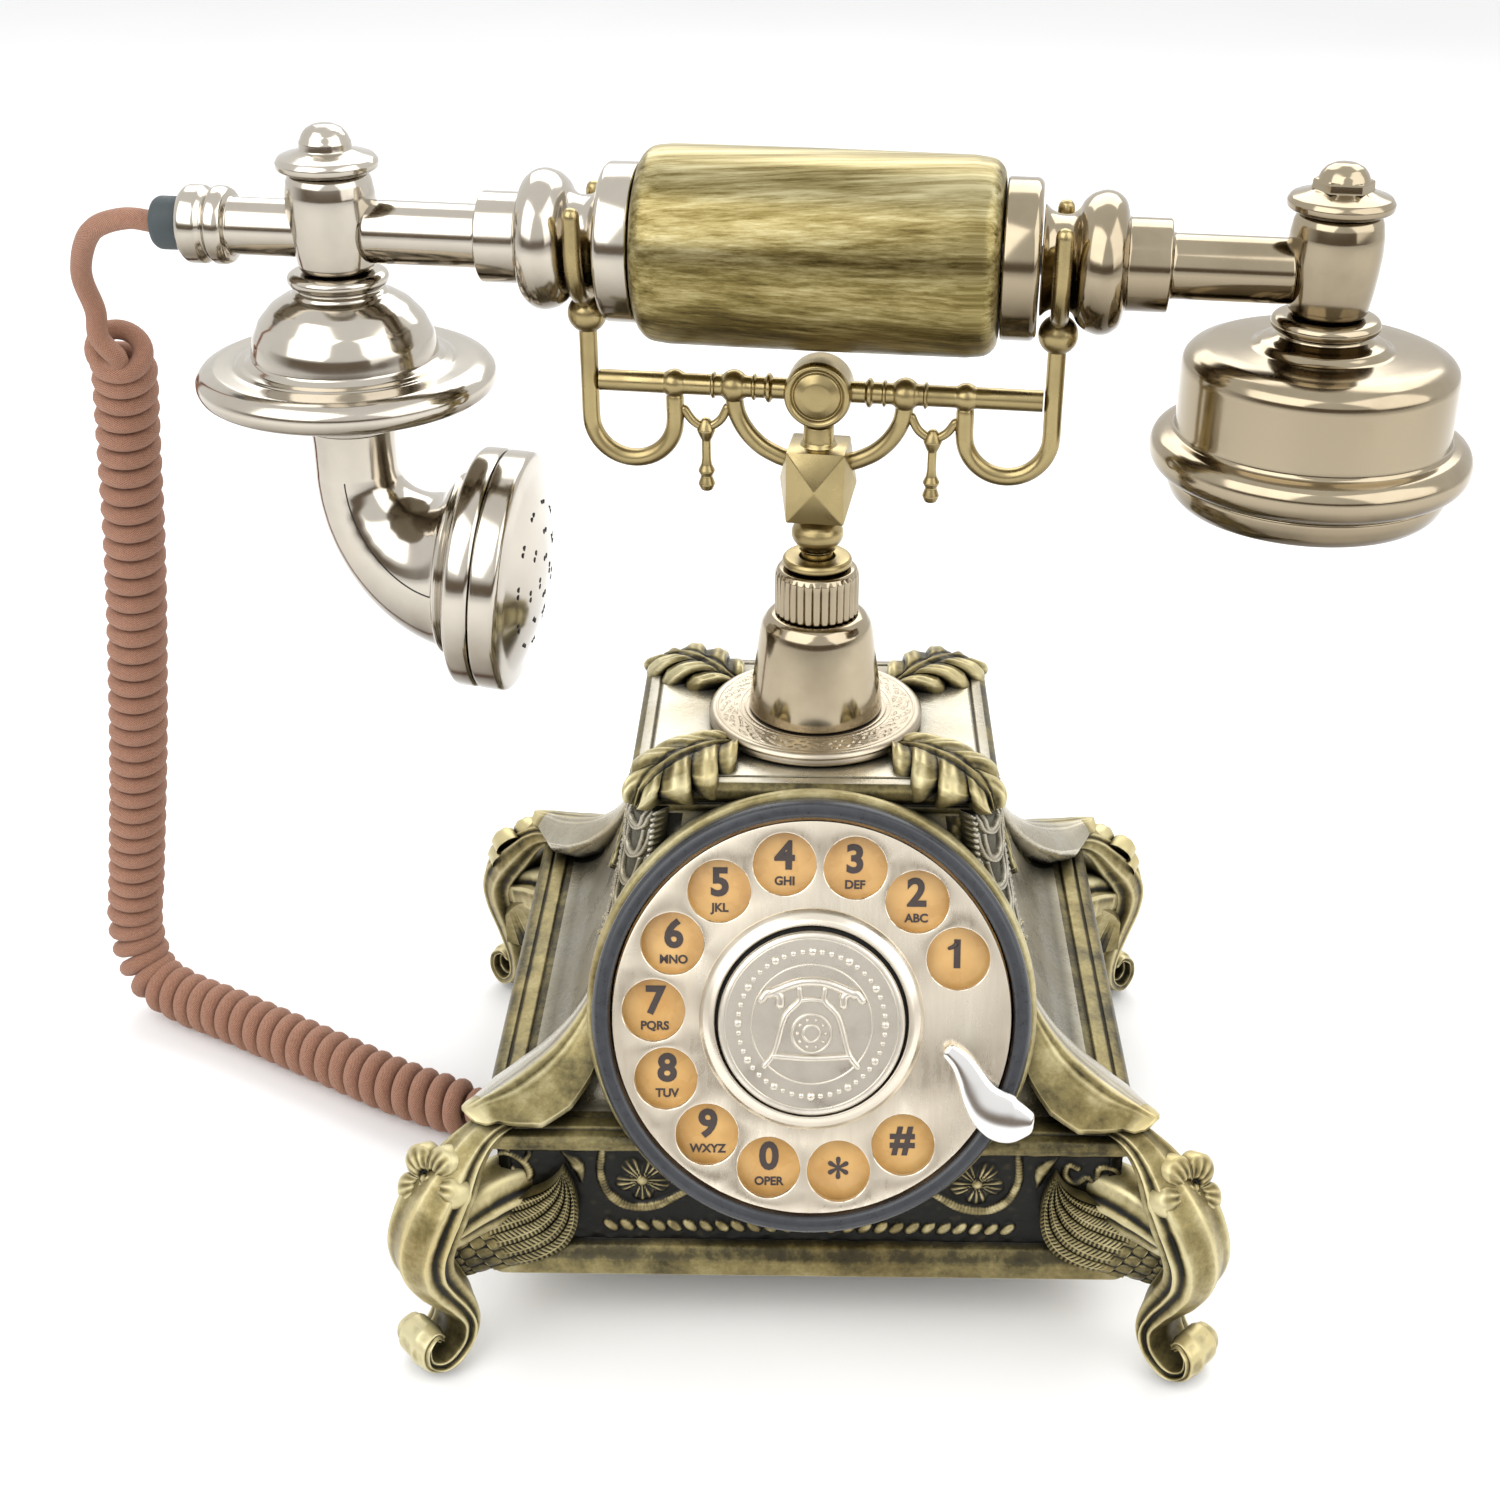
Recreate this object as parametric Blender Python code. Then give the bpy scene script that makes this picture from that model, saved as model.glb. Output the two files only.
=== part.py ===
"""Ornate rotary telephone: sculpted base with a dial, a stem and cradle, and a metal handset on a cord.

Lengths in this file are in millimetres and METRE turns them into metres. The floor is Z = 0, the stem
stands on the Z axis and the dial faces -Y.
"""

import math

import bmesh
import bpy
from mathutils import Matrix, Vector

METRE = 0.001
GAP = 0.3
ROUNDNESS = 0.5  # share of the sides asked for that a turned piece is given

# Base: half sizes in X and Y
PLINTH_HALF = (70.0, 62.5)
PLINTH_BOTTOM = 17.5
PLINTH_TOP = 56.0
PYRAMID_TOP = 122.0
SLAB_HALF = (40.5, 31.5)
SLAB_TOP = 127.5

# Dial: centre of its face, and its lean back from the upright
DIAL_CENTRE = (0.0, -60.0, 85.3)
DIAL_LEAN = 23.0
WHEEL_RADIUS = 43.3
WHEEL_BACK, WHEEL_FRONT = -2.6, -1.0
HOLE_COUNT = 12
HOLE_RADIUS = 6.8
HOLE_PITCH_RADIUS = 34.3
FIRST_HOLE = 23.3
HOLE_STEP = 360.0 / 14.0
BEZEL_RADIUS = 47.8
DRUM_RADIUS = 49.4
HUB_RADIUS = 24.4
BUTTON_RADIUS = 20.1
SLEEVE_RADIUS = 5.2
BUTTON_STEM_RADIUS = 2.9
GEAR_TEETH = 24
PINION_TEETH = 6
GEAR_MODULE = 1.5
GEAR_TOOTH = [(-0.22, -1.5), (-0.08, 1.1), (0.08, 1.1), (0.22, -1.5)]

# Stem and cradle
FLANGE_RADIUS = 24.5
CONE_BOTTOM, CONE_TOP = 131.3, 153.0
COLLAR_TOP = 166.0
FLUTES = 20
BLOCK_HALF, BLOCK_BOTTOM, BLOCK_TOP = 6.3, 178.2, 194.4
BAR_HEIGHT = 206.5
BAR_RADIUS = 2.3
ROD_RADIUS = 1.9
FORK_X = 49.8
LOOP_INNER_X = 31.3
LOOP_CENTRE = 198.4

# Handset: its axis, and its turn about the stem
YAW = -6.5
HANDSET_HEIGHT = 236.5
NECK_RADIUS = 9.4
TEE_X = 103.8
TEE_RADIUS = 9.5
BORE = 3.3
HORN_BEND = 85.0

# Cord
CORD_RADIUS = 2.35
COIL_RADIUS = 7.75


def clear_scene():
    for item in list(bpy.data.objects):
        bpy.data.objects.remove(item, do_unlink=True)


def material(name, colour, metallic, roughness):
    made = bpy.data.materials.new(name)
    made.use_nodes = True
    shader = made.node_tree.nodes["Principled BSDF"]
    shader.inputs["Base Color"].default_value = (*colour, 1.0)
    shader.inputs["Metallic"].default_value = metallic
    shader.inputs["Roughness"].default_value = roughness
    made.diffuse_color = (*colour, 1.0)
    return made


def axis_empty(name, centre, turn, parent=None):
    empty = bpy.data.objects.new(name, None)
    bpy.context.collection.objects.link(empty)
    empty.parent = parent
    empty.location = Vector(centre) * METRE
    empty.rotation_euler = turn
    return empty


def shell(name, rings, look=None, parent=None, loop=False):
    """A closed body skinned over rings of equal length; a ring may be a single point at either end."""
    mesh = bmesh.new()
    rows = [[mesh.verts.new(Vector(point) * METRE) for point in ring] for ring in rings]
    pairs = list(zip(rows, rows[1:]))
    if loop:
        pairs.append((rows[-1], rows[0]))
    for low, high in pairs:
        count = max(len(low), len(high))
        for i in range(count):
            j = (i + 1) % count
            corners = [low[i % len(low)], low[j % len(low)], high[j % len(high)], high[i % len(high)]]
            mesh.faces.new(list(dict.fromkeys(corners)))
    if not loop:
        for row in (rows[0], rows[-1]):
            if len(row) > 2:
                mesh.faces.new(row)
    bmesh.ops.recalc_face_normals(mesh, faces=mesh.faces)
    return finished(name, mesh, look, parent)


def finished(name, mesh, look, parent):
    data = bpy.data.meshes.new(name)
    mesh.to_mesh(data)
    mesh.free()
    made = bpy.data.objects.new(name, data)
    bpy.context.collection.objects.link(made)
    made.parent = parent
    if look is not None:
        data.materials.append(look)
    return made


def turned(name, profile, look=None, parent=None, sides=40, loop=False, axis="Z"):
    """A body turned about local Z or X or Y from (radius, height) points."""
    rings = []
    sides = max(8, 2 * round(sides * ROUNDNESS / 2.0))
    for radius, height in profile:
        if radius == 0.0:
            rings.append([about(axis, 0.0, 0.0, height)])
            continue
        angles = [2.0 * math.pi * i / sides for i in range(sides)]
        rings.append([about(axis, radius * math.cos(a), radius * math.sin(a), height) for a in angles])
    return shell(name, rings, look, parent, loop)


def about(axis, first, second, along):
    if axis == "X":
        return (along, first, second)
    if axis == "Y":
        return (second, along, first)
    return (first, second, along)


def swept(name, path, radii, look=None, parent=None, sides=10, flatten=1.0):
    """A rod of changing radius along a path, its ends square to the path."""
    points = [Vector(p) for p in path]
    last = len(points) - 1
    if isinstance(radii, (int, float)):
        radii = [radii] * (last + 1)
    side = None
    rings = []
    for i, point in enumerate(points):
        along = (points[min(i + 1, last)] - points[max(i - 1, 0)]).normalized()
        if side is None:
            upright_axis = Vector((0, 0, 1)) if abs(along.z) < 0.9 else Vector((1, 0, 0))
            side = along.cross(upright_axis).normalized()
        side = (side - along * side.dot(along)).normalized()
        other = along.cross(side)
        ring = []
        for k in range(sides):
            angle = 2.0 * math.pi * k / sides
            across = side * math.cos(angle) + other * math.sin(angle) * flatten
            ring.append(point + across * radii[i])
        rings.append(ring)
    return shell(name, rings, look, parent)


def block(name, low, high, look=None, parent=None):
    (x0, y0, z0), (x1, y1, z1) = low, high
    rings = [[(x0, y0, z), (x1, y0, z), (x1, y1, z), (x0, y1, z)] for z in (z0, z1)]
    return shell(name, rings, look, parent)


def rounded_rectangle(half_x, half_y, height, corner=4.0):
    right, back = half_x - corner, half_y - corner
    return [(half_x, -back, height), (half_x, back, height), (right, half_y, height),
            (-right, half_y, height), (-half_x, back, height), (-half_x, -back, height),
            (-right, -half_y, height), (right, -half_y, height)]


def arc(centre, radius, start, end, steps, plane="XZ"):
    points = []
    for i in range(steps + 1):
        angle = math.radians(start + (end - start) * i / steps)
        u, v = radius * math.cos(angle), radius * math.sin(angle)
        offset = (u, 0.0, v) if plane == "XZ" else (0.0, u, v)
        points.append(tuple(c + o for c, o in zip(centre, offset)))
    return points


def mirrored(path, x=1.0, y=1.0):
    return [(p[0] * x, p[1] * y, p[2]) for p in path]


def combined(name, bodies, parent=None):
    """One helper mesh from bodies that stand clear of each other."""
    mesh = bmesh.new()
    for item in bodies:
        mesh.from_mesh(item.data)
        bpy.data.objects.remove(item, do_unlink=True)
    return finished(name, mesh, None, parent)


def apply_tool(target, tool, operation):
    change = target.modifiers.new(tool.name, "BOOLEAN")
    change.operation = operation
    change.solver = "EXACT"
    change.object = tool
    tool.hide_render = True
    tool.display_type = "WIRE"


def fuse(target, tool):
    apply_tool(target, tool, "UNION")


def cut(target, tool):
    apply_tool(target, tool, "DIFFERENCE")


def corners():
    return [(x, y) for x in (-1.0, 1.0) for y in (-1.0, 1.0)]


def base_shell(look, dial):
    px, py = PLINTH_HALF
    sx, sy = SLAB_HALF
    levels = [
        (px + 3.5, py + 3.5, PLINTH_BOTTOM), (px + 3.5, py + 3.5, 21.0), (px + 0.5, py + 0.5, 24.0),
        (px - 1.0, py - 1.0, 26.5), (px - 1.0, py - 1.0, 45.5), (px + 1.5, py + 1.5, 48.5),
        (px + 3.5, py + 3.5, 50.5), (px + 3.5, py + 3.5, 54.0), (px, py, PLINTH_TOP),
        (66.0, 58.5, 56.6), (58.0, 51.5, 61.0), (50.6, 44.4, 74.0), (43.8, 36.8, 95.0),
        (39.6, 31.2, 112.0), (38.0, 29.2, 119.0), (38.6, 29.8, PYRAMID_TOP), (sx, sy, 124.0),
        (sx, sy, SLAB_TOP),
    ]
    body = shell("base_shell", [rounded_rectangle(*level) for level in levels], look)
    outer = [(0.0, -32.0), (DRUM_RADIUS, -32.0), (DRUM_RADIUS, -8.0), (DRUM_RADIUS - 1.2, -6.2),
             (0.0, -6.2)]
    fuse(body, turned("drum_form", outer, parent=dial, sides=56))
    fuse(body, legs())
    fuse(body, volutes())
    fuse(body, crest_leaves())
    inside = [
        (px - 4.0, py - 4.0, PLINTH_BOTTOM - 1.0), (px - 4.0, py - 4.0, 52.5), (53.5, 48.5, 53.5),
        (51.4, 45.9, 62.0), (46.4, 40.4, 75.0), (40.7, 33.7, 95.0), (36.5, 28.1, 112.0),
        (35.0, 26.2, 119.5),
    ]
    cut(body, shell("hollow_form", [rounded_rectangle(*level) for level in inside]))
    fuse(body, screw_posts())
    seat = [(0.0, -40.0), (41.5, -40.0), (41.5, -13.0), (46.0, -13.0), (46.0, -5.0), (0.0, -5.0)]
    cut(body, turned("drum_bore", seat, parent=dial, sides=56))
    cut(body, turned("plunger_hole", [(0.0, 118.0), (4.4, 118.0), (4.4, 129.0), (0.0, 129.0)], sides=20))
    cut(body, block("jack_window", (-8.3, 55.0, 26.0), (8.3, 68.0, 39.0)))
    cut(body, pilot_holes())
    return body


def legs():
    """Four cabriole legs, each with a round flower boss on its knee."""
    path = [(64, 57, 40), (76, 66, 43), (85.5, 73, 41), (90.5, 77.0, 35), (89, 75.6, 27), (84.5, 72, 19),
            (83.5, 71.4, 12), (86.5, 73.4, 6), (86.5, 73.4, 0)]
    radii = [11, 11.5, 10.5, 8.2, 6.2, 5.4, 5.6, 7.2, 7.4]
    made = []
    for x, y in corners():
        made.append(swept("leg_form", mirrored(path, x, y), radii, sides=8))
    legs_tool = combined("legs_form", made)
    fuse(legs_tool, combined("knee_form", [knee_boss(x, y) for x, y in corners()]))
    return legs_tool


def knee_boss(x, y):
    boss = turned("boss", [(0.0, -9.0), (7.5, -9.0), (9.6, 0.5), (8.2, 3.0), (4.0, 4.6), (0.0, 5.0)],
                  sides=20)
    outward = Vector((0.62 * x, 0.75 * y, 0.22)).normalized()
    turn = outward.to_track_quat("Z", "Y").to_matrix().to_4x4()
    boss.data.transform(Matrix.Translation(Vector((82.5 * x, 74.0 * y, 48.0)) * METRE) @ turn)
    return boss


def volutes():
    """Scroll brackets that curl outward over the plinth's corners."""
    path = [(47, 40, 74), (54, 47, 72), (62, 54.5, 71.0), (69.5, 60.0, 69.0), (74.0, 63.0, 63.5),
            (71.5, 61.0, 57.0), (65, 56.0, 54)]
    radii = [5.0, 5.5, 5.8, 6.4, 6.4, 5.6, 5.0]
    made = [swept("volute", mirrored(path, x, y), radii, sides=8) for x, y in corners()]
    return combined("volutes_form", made)


def crest_leaves():
    """Leaves that roll over the corners of the top slab."""
    path = [(28, 20, 124), (33, 26, 127.5), (38.5, 31.5, 126.8), (41.0, 34.5, 121.5), (40.5, 34.0, 114.5),
            (39.5, 32.5, 108.0)]
    radii = [3.5, 5.0, 5.2, 4.6, 3.6, 2.6]
    made = [swept("leaf", mirrored(path, x, y), radii, sides=7) for x, y in corners()]
    return combined("leaves_form", made)


def screw_posts():
    made = []
    for x, y in corners():
        post = turned("post", [(0.0, 19.8), (4.2, 19.8), (4.2, 54.0), (0.0, 54.0)], sides=16)
        post.data.transform(Matrix.Translation(Vector((57.0 * x, 50.0 * y, 0.0)) * METRE))
        made.append(post)
    return combined("posts_form", made)


def pilot_holes():
    made = []
    for x, y in corners():
        hole = turned("pilot", [(0.0, 19.0), (1.8, 19.0), (1.8, 32.0), (0.0, 32.0)], sides=16)
        hole.data.transform(Matrix.Translation(Vector((57.0 * x, 50.0 * y, 0.0)) * METRE))
        made.append(hole)
    return combined("pilots_form", made)


def bottom_cover(look, screw_look):
    half_x, half_y = PLINTH_HALF[0] - 4.4, PLINTH_HALF[1] - 4.4
    rings = [rounded_rectangle(half_x, half_y, z) for z in (PLINTH_BOTTOM, 19.5)]
    cover = shell("bottom_cover", rings, look)
    posts = []
    for x, y, top in [(25, -3, 29.0), (-25, -3, 29.0), (-46, 24, 25.7), (-16, 24, 25.7), (-46, 46, 25.7),
                      (-16, 46, 25.7), (0, 24, 24.7)]:
        post = turned("cover_post", [(0.0, 18.5), (2.4, 18.5), (2.4, top), (0.0, top)], sides=14)
        post.data.transform(Matrix.Translation(Vector((x, y, 0.0)) * METRE))
        posts.append(post)
    fuse(cover, combined("cover_posts", posts))
    holes = []
    for x, y in corners():
        hole = turned("hole", [(0.0, 16.0), (1.9, 16.0), (1.9, 21.0), (0.0, 21.0)], sides=16)
        hole.data.transform(Matrix.Translation(Vector((57.0 * x, 50.0 * y, 0.0)) * METRE))
        holes.append(hole)
    mouth = turned("hole", [(0.0, 16.0), (4.3, 16.0), (4.3, 21.0), (0.0, 21.0)], sides=20)
    mouth.data.transform(Matrix.Translation(Vector((-45.0, 0.0, 0.0)) * METRE))
    cut(cover, combined("cover_holes", holes + [mouth]))
    profile = [(0.0, 15.3), (3.2, 15.3), (3.6, 16.2), (3.6, 17.2), (1.5, 17.2), (1.5, 29.0), (0.0, 30.0)]
    for number, (x, y) in enumerate(corners(), start=1):
        screw = turned(f"bottom_screw_{number}", profile, screw_look, sides=16)
        screw.location = Vector((57.0 * x, 50.0 * y, 0.0)) * METRE


def gear_rings(teeth, bore, back, front):
    """Four rings of a flat gear with trapezoid teeth and a round bore."""
    outline = []
    pitch = GEAR_MODULE * teeth / 2.0
    for i in range(teeth):
        for share, height in GEAR_TOOTH:
            angle = 2.0 * math.pi * (i + share) / teeth
            radius = pitch + height
            outline.append((radius * math.cos(angle), radius * math.sin(angle)))
    bore_ring = [(bore * x / math.hypot(x, y), bore * y / math.hypot(x, y)) for x, y in outline]
    return [
        [(x, y, back) for x, y in bore_ring], [(x, y, back) for x, y in outline],
        [(x, y, front) for x, y in outline], [(x, y, front) for x, y in bore_ring],
    ]


def dial_fixed_parts(looks, dial):
    bezel = [(BEZEL_RADIUS - 2.1, -12.7), (BEZEL_RADIUS - 2.1, -6.0), (BEZEL_RADIUS, -5.9),
             (BEZEL_RADIUS, -1.2), (BEZEL_RADIUS - 0.9, 0.0), (44.0, -0.2), (44.0, -12.7)]
    turned("dial_bezel", bezel, looks["bezel"], dial, 56, loop=True)
    plate = [(5.6, -6.4), (43.7, -6.4), (43.7, -5.2), (5.6, -5.2)]
    turned("number_plate", plate, looks["amber"], dial, 48, loop=True)
    frame = [(5.5, -12.7), (43.7, -12.7), (43.7, -10.7), (7.5, -10.7), (7.5, -8.7), (5.5, -8.7)]
    carrier = turned("dial_frame", frame, looks["steel"], dial, 48, loop=True)
    pinion_x = GEAR_MODULE * (GEAR_TEETH + PINION_TEETH) / 2.0
    hole = turned("governor_hole", [(0.0, -14.0), (1.8, -14.0), (1.8, -9.0), (0.0, -9.0)], None, dial,
                  16)
    hole.location = Vector((pinion_x, 0.0, 0.0)) * METRE
    cut(carrier, hole)
    stop_path = [(47.4, -20.8, 2.0), (43.4, -20.4, 2.0), (38.8, -18.6, 2.1), (35.2, -14.4, 1.9),
                 (32.4, -9.4, 1.6), (29.3, -6.2, 1.2)]
    stop = swept("finger_stop", stop_path, [2.6, 4.6, 3.9, 2.9, 2.4, 1.4], looks["silver"], dial, 10,
                 0.34)
    foot = turned("stop_foot", [(0.0, 0.3), (1.5, 0.3), (1.5, 1.6), (0.0, 1.6)], None, dial, 16)
    foot.location = Vector((43.0, -18.2, 0.0)) * METRE
    fuse(stop, foot)
    spiral = []
    for i in range(41):
        angle = 2.0 * math.pi * i / 10.0
        radius = 7.2 + 1.9 * i / 10.0
        spiral.append((radius * math.cos(angle), radius * math.sin(angle), -18.8))
    swept("dial_spring", spiral, 0.55, looks["spring"], dial, 5)


def dial_moving_parts(looks, dial):
    wheel = turned("finger_wheel", [(12.0, WHEEL_BACK), (WHEEL_RADIUS, WHEEL_BACK),
                                    (WHEEL_RADIUS, WHEEL_FRONT - 0.4), (WHEEL_RADIUS - 0.4, WHEEL_FRONT),
                                    (12.0, WHEEL_FRONT)], looks["nickel"], dial, 56, loop=True)
    holes = []
    for number in range(HOLE_COUNT):
        angle = math.radians(FIRST_HOLE + number * HOLE_STEP)
        hole = turned("finger_hole", [(0.0, -5.0), (HOLE_RADIUS, -5.0), (HOLE_RADIUS, 2.0), (0.0, 2.0)],
                      sides=24)
        centre = Vector((math.cos(angle), math.sin(angle), 0.0)) * HOLE_PITCH_RADIUS * METRE
        hole.data.transform(Matrix.Translation(centre))
        holes.append(hole)
    cut(wheel, combined("finger_holes", holes, dial))
    bore = BUTTON_STEM_RADIUS + 0.4
    hub = [(bore, -17.0), (SLEEVE_RADIUS, -17.0), (SLEEVE_RADIUS, -3.2), (11.7, -3.2), (11.7, -0.7),
           (HUB_RADIUS, -0.7), (HUB_RADIUS - 0.8, 1.4), (BUTTON_RADIUS + 0.7, 1.8),
           (BUTTON_RADIUS + 0.7, 0.2), (bore, 0.2)]
    turned("wheel_hub", hub, looks["nickel"], dial, 48, loop=True)
    gear = shell("dial_gear", gear_rings(GEAR_TEETH, SLEEVE_RADIUS + GAP, -16.6, -14.6), looks["brass"],
                 dial, True)
    gear.rotation_euler = (0.0, 0.0, math.radians(180.0 / GEAR_TEETH))
    cap = [(0.0, -24.0), (BUTTON_STEM_RADIUS, -24.0), (BUTTON_STEM_RADIUS, 2.1),
           (BUTTON_RADIUS - 0.6, 2.1), (BUTTON_RADIUS, 2.6), (BUTTON_RADIUS, 3.4),
           (BUTTON_RADIUS - 0.9, 4.0), (0.0, 4.0)]
    turned("speaker_button", cap, looks["button"], dial, 48)
    governor(looks, dial)


def governor(looks, dial):
    """The pinion, its shaft in the dial frame and the flywheel behind it."""
    centre_x = GEAR_MODULE * (GEAR_TEETH + PINION_TEETH) / 2.0
    pivot = axis_empty("governor_axis", (centre_x, 0.0, 0.0), (0.0, 0.0, 0.0), dial)
    body = shell("governor", gear_rings(PINION_TEETH, 1.0, -16.6, -14.6), looks["brass"], pivot, True)
    shaft = [(0.0, -24.0), (1.5, -24.0), (1.5, -9.6), (0.0, -9.6)]
    fuse(body, turned("governor_shaft", shaft, None, pivot, 16))
    wheel = [(0.0, -22.6), (8.5, -22.6), (8.5, -20.6), (2.6, -19.2), (0.0, -19.2)]
    fuse(body, turned("governor_wheel", wheel, None, pivot, 28))


def ringer_parts(looks):
    for side, x in [("left", -25.0), ("right", 25.0)]:
        gong = [(0.0, 32.0), (6.0, 31.6), (13.0, 29.2), (17.0, 24.4), (17.8, 22.6), (16.8, 22.6),
                (15.8, 24.4), (12.0, 28.2), (5.6, 29.4), (0.0, 29.4)]
        made = turned(f"gong_{side}", gong, looks["brass"], sides=32)
        made.location = Vector((x, -3.0, 0.0)) * METRE
    hammer = swept("clapper", [(0, 1.5, 27), (0, -24.6, 27)], [0.9, 0.9], looks["steel"], sides=8)
    hammer.location = Vector((0.0, 24.0, 0.0)) * METRE
    fuse(hammer, ball("hammer_ball", (0.0, -26.0, 27.0), 2.6, location=(0.0, 24.0, 0.0)))
    hub = turned("clapper_hub", [(0.0, 25.0), (3.0, 25.0), (3.0, 29.0), (0.0, 29.0)], sides=16)
    hub.location = Vector((0.0, 24.0, 0.0)) * METRE
    fuse(hammer, hub)
    block("ringer_magnet", (-8.0, 30.0, 19.8), (8.0, 40.0, 31.0), looks["coil"])


def ball(name, centre, radius, look=None, parent=None, location=(0.0, 0.0, 0.0), sides=14):
    steps = 6
    profile = [(0.0, centre[2] - radius)]
    for i in range(1, steps):
        angle = math.pi * i / steps
        profile.append((radius * math.sin(angle), centre[2] - radius * math.cos(angle)))
    profile.append((0.0, centre[2] + radius))
    made = turned(name, profile, look, parent, sides)
    made.data.transform(Matrix.Translation(Vector((centre[0], centre[1], 0.0)) * METRE))
    made.location = Vector(location) * METRE
    return made


def electric_parts(looks):
    block("circuit_board", (-50.0, 20.0, 26.0), (-12.0, 50.0, 27.6), looks["board"])
    jack = block("line_jack", (-8.0, 46.0, 26.3), (8.0, 62.2, 38.7), looks["plastic"])
    cut(jack, block("jack_socket", (-5.6, 50.0, 28.6), (5.6, 64.0, 36.4)))
    speaker = [(0.0, 19.8), (13.0, 19.8), (13.0, 22.2), (6.5, 27.5), (6.5, 31.0), (0.0, 31.0)]
    unit = turned("loudspeaker", speaker, looks["plastic"], sides=32)
    unit.location = Vector((40.0, 33.0, 0.0)) * METRE
    grommet = [(2.7, 16.2), (5.6, 16.2), (5.6, 17.2), (4.0, 17.2), (4.0, 19.8), (5.4, 19.8), (5.4, 21.0),
               (2.7, 21.0)]
    ring = turned("cord_grommet", grommet, looks["rubber"], sides=24, loop=True)
    ring.location = Vector((-45.0, 0.0, 0.0)) * METRE


def hook_parts(looks):
    bracket = block("hook_bracket", (-27.0, -8.0, 93.0), (29.0, 8.0, 95.0), looks["steel"])
    posts = [block("a", (-29.0, -8.0, 93.4), (-26.4, 8.0, 119.2)),
             block("b", (28.4, -8.0, 93.4), (31.0, 8.0, 119.2)),
             block("c", (-20.5, -7.6, 94.4), (-15.5, -5.8, 107.6)),
             block("d", (-20.5, 5.8, 94.4), (-15.5, 7.6, 107.6))]
    fuse(bracket, combined("bracket_sides", posts))
    hole = turned("pin_hole", [(0.0, -9.0), (1.8, -9.0), (1.8, 9.0), (0.0, 9.0)], sides=16, axis="Y")
    hole.data.transform(Matrix.Translation(Vector((-18.0, 0.0, 104.5)) * METRE))
    cut(bracket, hole)
    lever = block("hook_lever", (-2.6, -5.2, -1.0), (31.0, 5.2, 1.0), looks["steel"])
    lever.location = Vector((-18.0, 0.0, 104.5)) * METRE
    pin = turned("lever_pin", [(0.0, -7.9), (1.5, -7.9), (1.5, 7.9), (0.0, 7.9)], sides=16, axis="Y")
    pin.location = Vector((-18.0, 0.0, 104.5)) * METRE
    fuse(lever, pin)
    block("hook_switch", (17.0, -6.0, 95.3), (27.0, 6.0, 103.0), looks["plastic"])


def stem_parts(looks):
    flange = [(3.9, SLAB_TOP + GAP), (FLANGE_RADIUS - 1.0, SLAB_TOP + GAP), (FLANGE_RADIUS, 128.6),
              (FLANGE_RADIUS - 0.5, 129.4), (FLANGE_RADIUS, 130.0), (FLANGE_RADIUS - 0.9, 131.0),
              (3.9, 131.0)]
    turned("stem_flange", flange, looks["nickel"], sides=56, loop=True)
    cone = [(6.4, CONE_BOTTOM), (15.2, CONE_BOTTOM), (12.9, 149.6), (11.6, 152.2), (10.2, CONE_TOP),
            (6.4, CONE_TOP)]
    turned("stem_cone", cone, looks["polished"], sides=40, loop=True)
    fluted_collar(looks["polished"])
    nut = [(4.0, COLLAR_TOP + GAP), (7.4, COLLAR_TOP + GAP), (7.8, 166.9), (7.8, 168.0), (7.3, 168.4),
           (4.0, 168.4)]
    turned("stem_nut", nut, looks["brass"], sides=32, loop=True)
    coil = []
    turns, per_turn = 6, 8
    for i in range(turns * per_turn + 1):
        angle = 2.0 * math.pi * i / per_turn
        height = 131.9 + (142.8 - 131.9) * i / (turns * per_turn)
        coil.append((5.2 * math.cos(angle), 5.2 * math.sin(angle), height))
    swept("hook_spring", coil, 0.5, looks["spring"], sides=5)


def fluted_collar(look):
    """The knurled collar: a ring whose outside is cut into flutes."""
    outer = [(9.45, 9.45, 8.95, 8.95)[i % 4] for i in range(4 * FLUTES)]
    count = len(outer)
    rings = []
    levels = [(4.0, None, CONE_TOP + GAP), (None, 0.0, CONE_TOP + GAP), (None, 0.0, 164.6),
              (None, 0.8, COLLAR_TOP), (4.0, None, COLLAR_TOP)]
    for radius, inset, height in levels:
        ring = []
        for i in range(count):
            angle = 2.0 * math.pi * i / count
            reach = radius if radius else outer[i] - inset
            ring.append((reach * math.cos(angle), reach * math.sin(angle), height))
        rings.append(ring)
    shell("knurled_collar", rings, look, loop=True)


def plunger(look):
    """Ball, shaft, spring collar and tip that pass down the stem."""
    profile = [(0.0, 106.1), (2.2, 106.1), (3.5, 110.0), (3.5, 143.4), (5.9, 143.4), (5.9, 145.0),
               (3.5, 145.4), (3.5, 170.0), (4.6, 170.4), (5.9, 173.6), (5.2, 176.6), (3.0, 177.9),
               (0.0, 177.9)]
    turned("cradle_plunger", profile, look, sides=28)


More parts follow.
